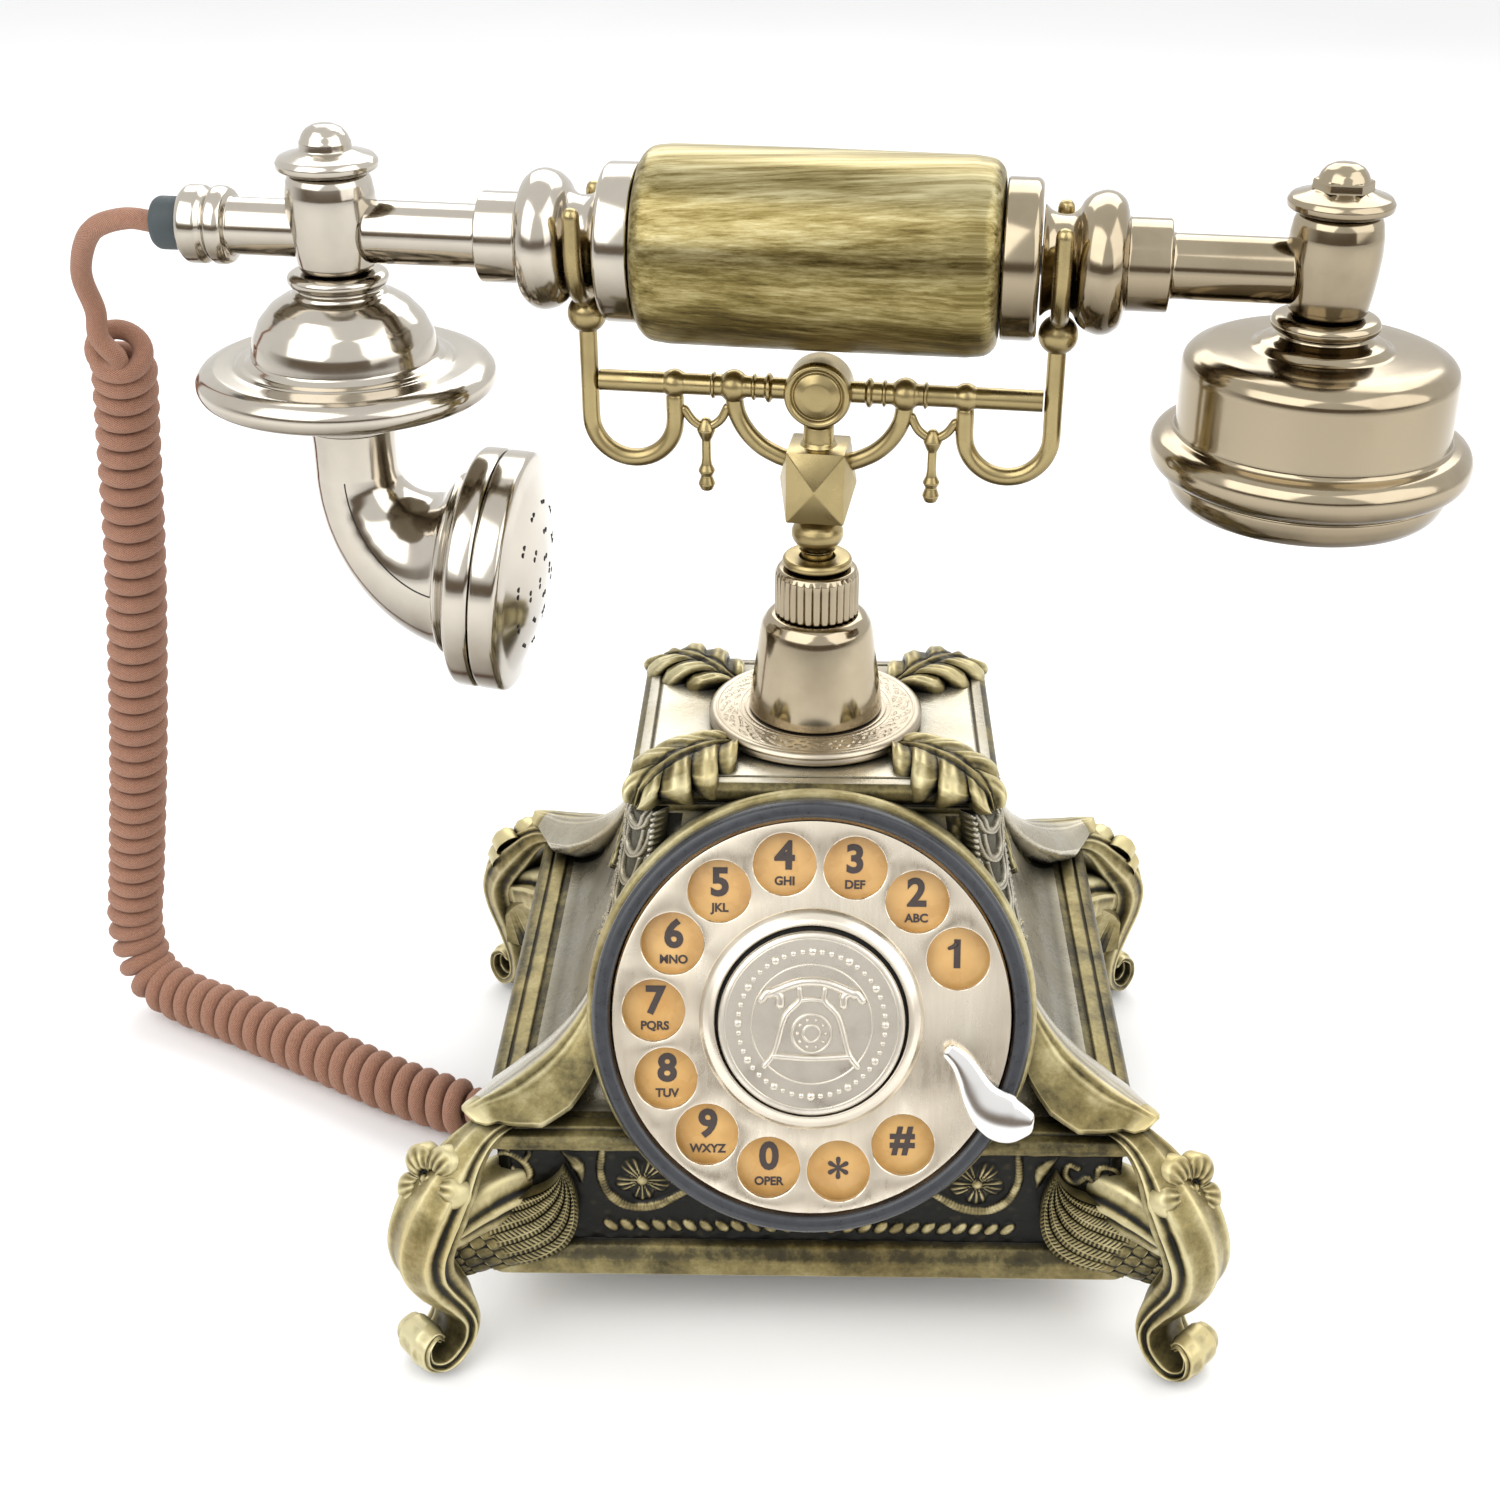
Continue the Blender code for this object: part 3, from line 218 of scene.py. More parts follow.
def metal(name, colour, dark, rough, streak=None, streak_scale=300.0, stain=0.35, bump=0.0,
          stain_scale=45.0, underside_shade=0.0):
    """Plated metal with faint stains, uneven polish, brushing along a streak, and painted shade that
    darkens the faces pointing down.
    """
    look = Look(name)
    stains = look.noise(stain_scale, 5.0, 0.6)
    base = look.mix(look.span(stains, 0.42, 0.78, 0.0, stain), colour, dark)
    if underside_shade:
        # painted shade: the colour darkens towards a dim copy of the dark tone where the surface faces
        # down, its edge jittered by the stains
        normal = look.add("ShaderNodeSeparateXYZ")
        look.link(look.add("ShaderNodeNewGeometry").outputs["Normal"], normal.inputs["Vector"])
        below = look.maths("ADD", normal.outputs["Z"], look.span(stains, 0.3, 0.7, -0.14, 0.14))
        base = look.mix(look.span(below, 0.12, -0.55, 0.0, underside_shade), base, tuple(c * 0.45 for c in dark))
    specks = look.noise(1400.0, 3.0, 0.6)
    value = look.span(stains, 0.3, 0.7, rough * 0.75, rough * 1.35)
    if streak:
        lines = look.noise(streak_scale, 5.0, 0.7, streak)
        base = look.mix(look.span(lines, 0.35, 0.75, 0.0, 0.45), base, dark)
        value = look.maths("ADD", value, look.span(lines, 0.3, 0.7, -0.05, 0.07))
        look.bump(lines, 0.16, 0.08)
    elif bump:
        look.bump(specks, bump, 0.05)
    look.colour(base)
    look.rough(value)
    look.set(Metallic=1.0)
    return look.material


def brushed_grip():
    """Antique brass drawn lengthways, with olive and dark brown streaks, and painted shade and light:
    darker underneath, lighter on top.
    """
    look = Look("brushed_brass_look")
    fine = look.noise(900.0, 6.0, 0.75, (0.018, 1.0, 1.0))
    broad = look.noise(260.0, 5.0, 0.65, (0.045, 1.0, 1.0))
    blend = look.maths("ADD", look.maths("MULTIPLY", fine, 0.55), look.maths("MULTIPLY", broad, 0.45))
    # painted shade and light: the colour shifts with the normal's height, darker on the undersides and
    # lighter on top
    normal = look.add("ShaderNodeSeparateXYZ")
    look.link(look.add("ShaderNodeNewGeometry").outputs["Normal"], normal.inputs["Vector"])
    blend = look.maths("ADD", blend, look.span(normal.outputs["Z"], -0.8, 0.9, -0.07, 0.05))
    shade = look.ramp(blend, [(0.35, (0.060, 0.044, 0.014)), (0.45, (0.17, 0.130, 0.042)),
                              (0.54, (0.32, 0.265, 0.115)), (0.66, (0.55, 0.49, 0.28))])
    look.colour(shade)
    look.rough(look.span(fine, 0.3, 0.7, 0.24, 0.42))
    look.set(Metallic=0.95, Anisotropic=0.5)
    look.bump(fine, 0.25, 0.12)
    return look.material


def plastic(name, colour, rough, fleck=0.12, scale=700.0, bump=0.15):
    look = Look(name)
    grain = look.noise(scale, 4.0, 0.6)
    cloud = look.noise(60.0, 3.0, 0.5)
    lighter = tuple(min(1.0, c * 1.9 + 0.012) for c in colour)
    look.colour(look.mix(look.span(look.maths("MULTIPLY", grain, cloud), 0.18, 0.36, 0.0, fleck), colour,
                         lighter))
    look.rough(look.span(grain, 0.3, 0.7, rough * 0.85, rough * 1.15))
    look.bump(grain, bump, 0.06)
    return look.material


def amber():
    look = Look("number_amber_look")
    cloud = look.noise(120.0, 3.0, 0.5)
    look.colour(look.ramp(cloud, [(0.3, (0.62, 0.345, 0.11)), (0.7, (0.80, 0.505, 0.19))]))
    look.rough(look.span(cloud, 0.3, 0.7, 0.22, 0.34))
    look.set(Coat_Weight=0.5, Coat_Roughness=0.08)
    return look.material


def braid():
    """A plaited sleeve: diagonal strands crossing each way around the cord."""
    look = Look("braided_cord_look")
    around = look.attribute("around")
    along = look.attribute("along")
    hills = []
    for sign in (1.0, -1.0):
        phase = look.maths("ADD", look.maths("MULTIPLY", along, 5.2),
                           look.maths("MULTIPLY", around, sign * 8.0))
        hills.append(look.maths("ABSOLUTE", look.maths("SINE", phase, 0.0), 0.0))
    weave = look.maths("MAXIMUM", hills[0], hills[1])
    fibre = look.noise(1500.0, 3.0, 0.7)
    cloud = look.noise(45.0, 3.0, 0.5)
    level = look.maths("ADD", look.maths("MULTIPLY", weave, 0.65), look.maths("MULTIPLY", fibre, 0.35))
    shade = look.ramp(level, [(0.38, (0.060, 0.024, 0.014)), (0.62, (0.25, 0.105, 0.060)),
                              (0.85, (0.50, 0.26, 0.165))])
    look.colour(look.mix(look.span(cloud, 0.4, 0.7, 0.0, 0.3), shade, (0.27, 0.115, 0.062)))
    look.rough(look.span(fibre, 0.3, 0.7, 0.62, 0.85))
    look.set(Sheen_Weight=0.1)
    look.bump(level, 1.0, 0.3)
    return look.material


def make_looks():
    gold = [(0.010, 0.010, 0.008), (0.060, 0.048, 0.020), (0.27, 0.225, 0.095), (0.60, 0.54, 0.32)]
    patina = [(0.010, 0.010, 0.008), (0.058, 0.048, 0.020), (0.28, 0.232, 0.098), (0.64, 0.58, 0.35)]
    dark_gold = [(0.008, 0.008, 0.006), (0.040, 0.034, 0.018), (0.23, 0.19, 0.085), (0.58, 0.51, 0.29)]
    silver = [(0.085, 0.078, 0.055), (0.27, 0.250, 0.190), (0.42, 0.390, 0.315), (0.62, 0.59, 0.50)]
    return {
        "resin": resin("base_resin_look", *patina, dirty=0.72),
        "deep": resin("base_panel_look", *dark_gold, shift=-0.02, carved=0.28),
        "carved": resin("base_carved_look", *gold, carved=0.55),
        "smooth": resin("base_smooth_look", *silver, metal=0.78, rough=(0.22, 0.36), shift=0.10, shine=0.15,
                        dirty=0.20),
        "satin": metal("satin_nickel_look", (0.82, 0.75, 0.63), (0.54, 0.46, 0.35), 0.27, stain=0.22),
        "wheel": metal("brushed_nickel_look", (0.87, 0.79, 0.65), (0.60, 0.52, 0.40), 0.27,
                       (1.0, 0.10, 0.10), 420.0, 0.2),
        "polished": metal("polished_nickel_look", (0.59, 0.545, 0.47), (0.33, 0.27, 0.19), 0.13,
                          stain=0.30, bump=0.02, underside_shade=0.95),
        # painted shade: a darker copy of the polished nickel, for parts of the same plating that are to
        # look darker
        "aged": metal("shaded_nickel_look", (0.42, 0.355, 0.25), (0.19, 0.14, 0.08), 0.13,
                      stain=0.45, bump=0.02, underside_shade=0.97),
        "foot": metal("stem_foot_look", (0.54, 0.475, 0.37), (0.26, 0.205, 0.13), 0.30,
                      stain=0.50, bump=0.04),
        "antique": metal("antique_brass_look", (0.44, 0.35, 0.17), (0.16, 0.115, 0.05), 0.27,
                         stain=0.55, bump=0.05, stain_scale=90.0, underside_shade=0.7),
        "grip": brushed_grip(),
        "button": metal("silver_button_look", (0.74, 0.69, 0.60), (0.32, 0.285, 0.235), 0.33,
                        stain=0.45, bump=0.08, stain_scale=130.0),
        "silver": metal("bright_silver_look", (0.88, 0.87, 0.85), (0.58, 0.56, 0.53), 0.16,
                        stain=0.2, bump=0.02),
        "steel": metal("plain_steel_look", (0.45, 0.46, 0.47), (0.25, 0.25, 0.26), 0.38,
                       stain=0.3, bump=0.05),
        "brass": metal("plain_brass_look", (0.72, 0.56, 0.26), (0.40, 0.28, 0.10), 0.25,
                       stain=0.3, bump=0.03),
        "copper": metal("copper_coil_look", (0.62, 0.28, 0.14), (0.30, 0.10, 0.04), 0.35,
                        (1.0, 1.0, 0.1), 300.0),
        "bezel": plastic("bezel_look", (0.032, 0.034, 0.039), 0.30, 0.25, 500.0, 0.05),
        "plastic": plastic("black_plastic_look", (0.022, 0.022, 0.024), 0.5),
        "board": plastic("green_board_look", (0.03, 0.16, 0.06), 0.45),
        "rubber": plastic("slate_rubber_look", (0.045, 0.058, 0.062), 0.62, 0.3),
        "ink": plastic("digit_ink_look", (0.060, 0.045, 0.042), 0.45, 0.1),
        # near black: the horn's real seams, and also painted shade in the mouthpiece holes and under the
        # dial button
        "groove": plastic("dark_seam_and_shade_look", (0.008, 0.007, 0.006), 0.7, 0.1),
        "amber": amber(),
        "cord": braid(),
    }


LOOKS = make_looks()


# ---------------------------------------------------------------- mesh tools


def new_object(name, points, faces, look, body, place=WORLD, smooth=True, sharp=38.0):
    """A mesh object in the row frame from points in millimetres, riding on a body."""
    points = np.asarray(points, float)
    turn = np.array(place)
    world = (points @ turn[:3, :3].T + turn[:3, 3]) * MM
    data = bpy.data.meshes.new(name)
    data.from_pydata(world.tolist(), [], faces)
    data.update()
    made = bpy.data.objects.new(name, data)
    bpy.context.scene.collection.objects.link(made)
    data.materials.append(LOOKS[look])
    if smooth:
        data.polygons.foreach_set("use_smooth", [True] * len(data.polygons))
        if sharp:
            data.set_sharp_from_angle(angle=math.radians(sharp))
    if body:
        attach(made, body)
    return made


def clamp(values):
    return np.clip(values, 0, 1)


def around(count):
    """Evenly spaced angles round one full turn."""
    return np.linspace(0, 2 * math.pi, count, endpoint=False)


def grid_faces(rows, columns, wrap_rows=False, wrap_columns=False):
    row_count = rows if wrap_rows else rows - 1
    column_count = columns if wrap_columns else columns - 1
    i, j = np.meshgrid(np.arange(row_count), np.arange(column_count), indexing="ij")
    i2, j2 = (i + 1) % rows, (j + 1) % columns
    quads = np.stack([i * columns + j, i * columns + j2, i2 * columns + j2, i2 * columns + j], axis=-1)
    return quads.reshape(-1, 4).tolist()


def fillet(profile, radius=0.35, steps=3, closed=False):
    """The profile with its corners rounded."""
    points = np.asarray(profile, float)
    count = len(points)
    out = []
    for i, point in enumerate(points):
        if not closed and i in (0, count - 1):
            out.append(point)
            continue
        before, after = points[i - 1] - point, points[(i + 1) % count] - point
        near, far = np.linalg.norm(before), np.linalg.norm(after)
        reach = min(radius, near * 0.45, far * 0.45)
        if reach < 1e-4 or before @ after / (near * far) < -0.990:
            out.append(point)
            continue
        start, end = point + before / near * reach, point + after / far * reach
        for k in range(steps + 1):
            t = k / steps
            out.append(start * (1 - t) ** 2 + point * 2 * t * (1 - t) + end * t * t)
    return [tuple(p) for p in out]


def lathe(name, profile, look, body, place=WORLD, sides=96, closed=False, radius=0.35, axis="Z",
          sharp=38.0, wave=None):
    """A smooth turned piece from (radius, height) points; a wave changes the radius round the axis."""
    profile = fillet(profile, radius, closed=closed)
    angle = around(sides)
    rows = []
    for r, h in profile:
        reach = np.full(sides, max(r, 1e-4))
        if wave:
            reach = reach + wave(angle, r, h)
        rows.append(np.stack([reach * np.cos(angle), reach * np.sin(angle), np.full(sides, h)], axis=-1))
    points = np.array(rows).reshape(-1, 3)
    if axis == "X":
        points = points[:, [2, 0, 1]]
    if axis == "Y":
        points = points[:, [1, 2, 0]]
    made = new_object(name, points, grid_faces(len(profile), sides, closed, True), look, body, place, True,
                      None)
    recalculate(made, sharp)
    return made


def recalculate(obj, sharp=38.0):
    mesh = bmesh.new()
    mesh.from_mesh(obj.data)
    bmesh.ops.remove_doubles(mesh, verts=mesh.verts, dist=1e-6)
    bmesh.ops.recalc_face_normals(mesh, faces=mesh.faces)
    mesh.to_mesh(obj.data)
    mesh.free()
    if sharp:
        obj.data.set_sharp_from_angle(angle=math.radians(sharp))


def smooth_path(points, count):
    """Evenly spaced points on a Catmull-Rom curve through the given ones."""
    p = np.array(points, float)
    p = np.vstack([2 * p[0] - p[1], p, 2 * p[-1] - p[-2]])
    t = np.linspace(0, 1, 24, endpoint=False)[:, None]
    dense = []
    for a, b, c, d in zip(p, p[1:], p[2:], p[3:]):
        square, cube = 2 * a - 5 * b + 4 * c - d, 3 * b - a - 3 * c + d
        dense.append(0.5 * (2 * b + (c - a) * t + square * t ** 2 + cube * t ** 3))
    dense = np.vstack(dense + [p[-2][None, :]])
    length = np.concatenate([[0], np.cumsum(np.linalg.norm(np.diff(dense, axis=0), axis=1))])
    wanted = np.linspace(0, length[-1], count)
    return np.stack([np.interp(wanted, length, dense[:, k]) for k in range(dense.shape[1])], axis=-1)


def spread(values, count):
    """Values given at even steps, read at count even steps."""
    values = np.asarray(values, float)
    return np.interp(np.linspace(0, 1, count), np.linspace(0, 1, len(values)), values)


def softened(values, rounds):
    """The values with their kinks smoothed away; the two ends stay."""
    values = np.array(values, float)
    for _ in range(rounds):
        values[1:-1] = 0.25 * values[:-2] + 0.5 * values[1:-1] + 0.25 * values[2:]
    return values


def frames(path, start=None):
    """Unit tangent, side and up vectors along a path, with no needless twist."""
    tangent = np.gradient(path, axis=0)
    tangent /= np.linalg.norm(tangent, axis=1)[:, None] + 1e-12
    side = np.array(start if start is not None else (0.0, 0.0, 1.0), float)
    if abs(side @ tangent[0]) > 0.95:
        side = np.array((1.0, 0.0, 0.0))
    sides = []
    for t in tangent:
        side = side - t * (side @ t)
        side /= np.linalg.norm(side) + 1e-12
        sides.append(side.copy())
    sides = np.array(sides)
    return tangent, sides, np.cross(tangent, sides)


def rod(name, path, radius, look, body, place=WORLD, sides=20, count=60, caps=True, sharp=50.0):
    """A round rod; its radius may change along it, and its ends are domed."""
    line = smooth_path(path, count)
    reach = spread(radius if hasattr(radius, "__len__") else [radius, radius], count)
    return section_sweep(name, line, circle(sides), reach, reach, look, body, place, caps=caps, sharp=sharp)


def circle(sides):
    angle = around(sides)
    return np.stack([np.cos(angle), np.sin(angle)], axis=-1)


def section_sweep(name, line, section, wide, high, look, body, place=WORLD, start=None, caps=True,
                  sharp=40.0):
    """A closed section carried along a line: its first axis lies along the side vector, scaled by wide."""
    tangent, side, up = frames(line, start)
    rows = []
    for i, point in enumerate(line):
        sideways = np.outer(section[:, 0] * wide[i], side[i])
        rows.append(point + sideways + np.outer(section[:, 1] * high[i], up[i]))
    count, sides = len(line), len(section)
    points = np.array(rows).reshape(-1, 3)
    faces = grid_faces(count, sides, False, True)
    if caps:
        ends = []
        for index, sign in ((0, -1.0), (count - 1, 1.0)):
            centre = line[index]
            reach = min(wide[index], high[index])
            dome = []
            for step in (0.5, 0.8):
                scale = math.sqrt(1 - step * step)
                ring = centre + (rows[index] - centre) * scale + tangent[index] * sign * reach * step
                dome.append(ring)
            dome.append((centre + tangent[index] * sign * reach)[None, :])
            ends.append((index, dome))
        for index, dome in ends:
            base = index * sides
            for ring in dome:
                first = len(points)
                points = np.vstack([points, ring])
                for k in range(sides):
                    k2 = (k + 1) % sides
                    if len(ring) > 1:
                        faces.append([base + k, base + k2, first + k2, first + k])
                    else:
                        faces.append([base + k, base + k2, first])
                base = first
    made = new_object(name, points, faces, look, body, place, True, None)
    recalculate(made, sharp)
    return made


def ball(name, centre, radius, look, body, place=WORLD, sides=32, squash=1.0):
    steps = max(8, sides // 2)
    profile = []
    for i in range(steps + 1):
        angle = math.pi * i / steps
        profile.append((radius * math.sin(angle), -radius * squash * math.cos(angle)))
    return lathe(name, profile, look, body, place @ Matrix.Translation(centre), sides, radius=0.0,
                 sharp=None)


def join(name, objects, body):
    """One object from several that share a body."""
    objects = [item for item in objects if item]
    target = objects[0]
    chosen = {"active_object": target, "selected_objects": objects, "selected_editable_objects": objects}
    with bpy.context.temp_override(**chosen):
        bpy.ops.object.join()
    target.name = name
    target.data.name = name
    return target


def convexity(obj, rounds=(2, 9), scale=(0.10, 0.35), base=0.5):
    """Writes each vertex's wear: high on edges and bumps, low in grooves."""
    data = obj.data
    count = len(data.vertices)
    points = np.empty(count * 3)
    data.vertices.foreach_get("co", points)
    points = points.reshape(-1, 3) / MM
    normals = np.empty(count * 3)
    data.vertices.foreach_get("normal", normals)
    normals = normals.reshape(-1, 3)
    edges = np.empty(len(data.edges) * 2, int)
    data.edges.foreach_get("vertices", edges)
    a, b = edges.reshape(-1, 2).T
    degree = np.bincount(np.concatenate([a, b]), minlength=count)[:, None] + 1e-9
    wear = np.full(count, base)
    moved = points.copy()
    done = 0
    for steps, size in zip(rounds, scale):
        while done < steps:
            total = np.zeros_like(moved)
            for axis in range(3):
                total[:, axis] = np.bincount(a, moved[b, axis], count)
                total[:, axis] += np.bincount(b, moved[a, axis], count)
            moved = 0.5 * moved + 0.5 * total / degree
            done += 1
        rise = np.einsum("ij,ij->i", points - moved, normals)
        wear += 0.28 * np.clip(rise / size, -1.6, 1.6)
    attribute = data.attributes.new("wear", "FLOAT", "POINT")
    attribute.data.foreach_set("value", clamp(wear).astype(np.float32))
    return obj


def repaint(node, look):
    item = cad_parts[node]
    item.data.materials.clear()
    item.data.materials.append(LOOKS[look])
    for polygon in item.data.polygons:
        polygon.material_index = 0
    if look in ("resin", "deep", "carved", "smooth") and "wear" not in item.data.attributes:
        attribute = item.data.attributes.new("wear", "FLOAT", "POINT")
        attribute.data.foreach_set("value", [0.5] * len(item.data.vertices))


def stands_for(obj, *nodes, slot=None):
    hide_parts(*nodes)
    return obj


def part(node, slot, *settings, **more):
    """A turned piece that stands for one node of the CAD."""
    return stands_for(lathe(*settings, **more), node, slot=slot)


# ---------------------------------------------------------------- camera, light, floor


def camera():
    data = bpy.data.cameras.new("camera")
    data.lens = 50.4
    data.sensor_width = 36.0
    data.shift_x = -0.0433
    data.clip_start, data.clip_end = 0.01, 20.0
    eye, aim = Vector((0.0, -0.430, 0.354)), Vector((0.0, 0.0, 0.119))
    made = bpy.data.objects.new("camera", data)
    turn = (aim - eye).to_track_quat("-Z", "Y").to_matrix().to_4x4()
    made.matrix_world = Matrix.Translation(eye) @ turn @ Matrix.Rotation(math.radians(0.7), 4, "Z")
    bpy.context.scene.collection.objects.link(made)
    bpy.context.scene.camera = made


def area_light(name, place, aim, size, power, colour=(1.0, 1.0, 1.0)):
    data = bpy.data.lights.new(name, "AREA")
    data.shape = "RECTANGLE"
    data.size, data.size_y = size
    data.energy = power
    data.color = colour
    made = bpy.data.objects.new(name, data)
    direction = Vector(aim) - Vector(place)
    made.matrix_world = Matrix.Translation(place) @ direction.to_track_quat("-Z", "Y").to_matrix().to_4x4()
    bpy.context.scene.collection.objects.link(made)


def studio():
    """A white tent, darker toward the viewer and below, with three soft lamps."""
    world = bpy.data.worlds.new("studio")
    bpy.context.scene.world = world
    world.use_nodes = True
    tree = world.node_tree
    background = tree.nodes["Background"]
    coords = tree.nodes.new("ShaderNodeTexCoord")
    split = tree.nodes.new("ShaderNodeSeparateXYZ")
    tree.links.new(coords.outputs["Generated"], split.inputs["Vector"])
    ramp = tree.nodes.new("ShaderNodeValToRGB")
    stops = [(0.0, (0.9, 0.9, 0.9)), (0.43, (0.68, 0.64, 0.58)), (0.48, (0.15, 0.115, 0.085)),
             (0.57, (0.19, 0.145, 0.105)), (0.62, (0.95, 0.95, 0.95)), (1.0, (1.0, 1.0, 1.0))]
    points = ramp.color_ramp.elements
    while len(points) < len(stops):
        points.new(0.5)
    for point, (position, colour) in zip(points, stops):
        point.position = position
        point.color = (*colour, 1.0)
    lift = tree.nodes.new("ShaderNodeMapRange")
    lift.inputs["From Min"].default_value = -1.0
    tree.links.new(split.outputs["Z"], lift.inputs["Value"])
    tree.links.new(lift.outputs["Result"], ramp.inputs["Fac"])
    front = tree.nodes.new("ShaderNodeMapRange")
    for key, value in (("From Min", 0.15), ("From Max", -0.55), ("To Min", 0.0), ("To Max", 1.0)):
        front.inputs[key].default_value = value
    tree.links.new(split.outputs["Y"], front.inputs["Value"])
    mix = tree.nodes.new("ShaderNodeMix")
    mix.data_type = "RGBA"
    mix.inputs[6].default_value = (0.98, 0.98, 0.98, 1.0)
    tree.links.new(front.outputs["Result"], mix.inputs[0])
    tree.links.new(ramp.outputs["Color"], mix.inputs[7])
    seen = tree.nodes.new("ShaderNodeMix")
    seen.data_type = "RGBA"
    seen.inputs[7].default_value = (1.0, 1.0, 1.0, 1.0)
    tree.links.new(tree.nodes.new("ShaderNodeLightPath").outputs["Is Camera Ray"], seen.inputs[0])
    tree.links.new(mix.outputs[2], seen.inputs[6])
    tree.links.new(seen.outputs[2], background.inputs["Color"])
    background.inputs["Strength"].default_value = 0.95
    area_light("key_lamp", (-0.7, -0.75, 1.05), (0.0, 0.0, 0.12), (1.25, 1.25), 10.0)
    area_light("fill_lamp", (0.85, -0.45, 0.80), (0.0, 0.0, 0.12), (1.1, 1.2), 6.0)
    area_light("back_lamp", (0.1, 0.9, 1.0), (0.0, 0.0, 0.15), (1.4, 0.8), 8.0)
    bpy.context.scene.view_settings.view_transform = "Standard"
    bpy.context.scene.view_settings.exposure = 0.0


def floor():
    look = Look("floor_look")
    cloud = look.noise(3.0, 2.0, 0.5)
    look.colour(look.ramp(cloud, [(0.3, (0.93, 0.93, 0.93)), (0.7, (0.96, 0.96, 0.96))]))
    look.rough(look.span(cloud, 0.3, 0.7, 0.5, 0.6))
    LOOKS["floor"] = look.material
    size = 4000.0
    made = new_object("floor", [(-size, -size, 0), (size, -size, 0), (size, size, 0), (-size, size, 0)],
                      [[0, 1, 2, 3]], "floor", None, WORLD, False)


# ---------------------------------------------------------------- cord


def cord_route():
    """Where the cord leaves the handset's tail, and the way it runs from there."""
    cosine, sine = math.cos(YAW), math.sin(YAW)
    start = np.array((-142.9 * cosine, -142.9 * sine, HANDSET_Z))
    away = np.array((-cosine, -sine, 0.0))
    return start, away


def helix(route, radius, turns):
    """A helix of that many turns around a route, opening and closing at its ends."""
    count = turns * 22
    line = smooth_path(route, count)
    _, side, up = frames(line, (0.0, 1.0, 0.0))
    share = np.linspace(0, 1, count)
    phase = 2 * math.pi * turns * share
    opening = clamp(np.minimum(share / 0.5, (1 - share) / 1.4) * turns)
    reach = radius * opening * opening * (3 - 2 * opening)
    return line + side * (reach * np.cos(phase))[:, None] + up * (reach * np.sin(phase))[:, None]


def cord():
    start, away = cord_route()
    top = [start, start + away * 7.0 + (0, 0.5, 0.4), start + away * 16.0 + (0, 3.0, -3.5),
           start + away * 21.5 + (0, 8.0, -14.0), start + away * 21.0 + (0, 12.0, -24.0),
           (-163.4, 31.0, 206.6), (-160.6, 31.6, 202.0)]
    low = COIL_RADIUS + CORD_DIAMETER / 2 + 0.15
    coil = [(-160.6, 31.6, 202.0), (-160.7, 35.6, 201.4), (-161.1, 38.4, 196.5), (-164.0, 43.0, 180.0),
            (-170.0, 50.0, 140.0), (-178.5, 57.0, 90.0), (-187.0, 62.5, 45.0), (-190.3, 63.5, 25.0),
            (-186.5, 60.0, 11.6), (-176.0, 54.0, low), (-160.0, 45.0, low), (-130.0, 27.0, low),
            (-108.0, 14.0, low), (-83.0, 2.4, low)]
    bottom = [(-83.0, 2.4, low), (-76.0, 1.2, 6.2), (-68.0, 0.6, 4.4), (-60.0, 0.1, 3.6), (-51.0, 0.0, 5.2),
              (-46.2, 0.0, 10.5), (-45.0, 0.0, 16.0), (-45.0, 0.0, 23.6)]
    whole = np.vstack([smooth_path(top, 60), helix(coil, COIL_RADIUS, CORD_TURNS)[1:],
                       smooth_path(bottom, 50)[1:]])
    step = 0.95
    length = np.concatenate([[0], np.cumsum(np.linalg.norm(np.diff(whole, axis=0), axis=1))])
    wanted = np.linspace(0, length[-1], int(length[-1] / step))
    line = np.stack([np.interp(wanted, length, whole[:, k]) for k in range(3)], axis=-1)
    for _ in range(2):
        line[1:-1] = 0.25 * line[:-2] + 0.5 * line[1:-1] + 0.25 * line[2:]
    sides = 12
    _, side, up = frames(line, (0.0, 1.0, 0.0))
    angle = around(sides)
    radius = CORD_DIAMETER / 2
    ring = np.cos(angle)[None, :, None] * side[:, None, :] + np.sin(angle)[None, :, None] * up[:, None, :]
    points = (line[:, None, :] + ring * radius).reshape(-1, 3)
    faces = grid_faces(len(line), sides, False, True)
    faces.append(list(range(sides))[::-1])
    faces.append(list(range(len(points) - sides, len(points))))
    made = new_object("cord", points, faces, "cord", None, WORLD, True, 60.0)
    turned = np.tile(np.minimum(angle, 2 * math.pi - angle) * 2.0, len(line))
    for kind, values in (("along", np.repeat(wanted, sides)), ("around", turned)):
        attribute = made.data.attributes.new(kind, "FLOAT", "POINT")
        attribute.data.foreach_set("value", values.astype(np.float32))
    stands_for(made, "cord_lead_top", "cord_coil", "cord_lead_bottom", slot="braided_cord")
    total = float(np.linalg.norm(np.diff(line, axis=0), axis=1).sum()) * MM
    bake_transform(made)
    return total


# ---------------------------------------------------------------- handset


def flip(profile, side):
    return [(r, h * side) for r, h in profile]


def tee_place(side):
    return HANDSET_PLACE @ Matrix.Translation((side * TEE_X, 0.0, -HANDSET_Z))


def strain_relief():
    profile = [(2.7, -130.0), (3.0, -130.0), (3.0, -136.5), (5.6, -136.5), (5.6, -141.6), (4.9, -142.7),
               (2.7, -142.7)]
    part("strain_relief", "slate_rubber", "strain_relief_visual", profile, "rubber", "handset",
         HANDSET_PLACE, 48, True, 0.5, "X")


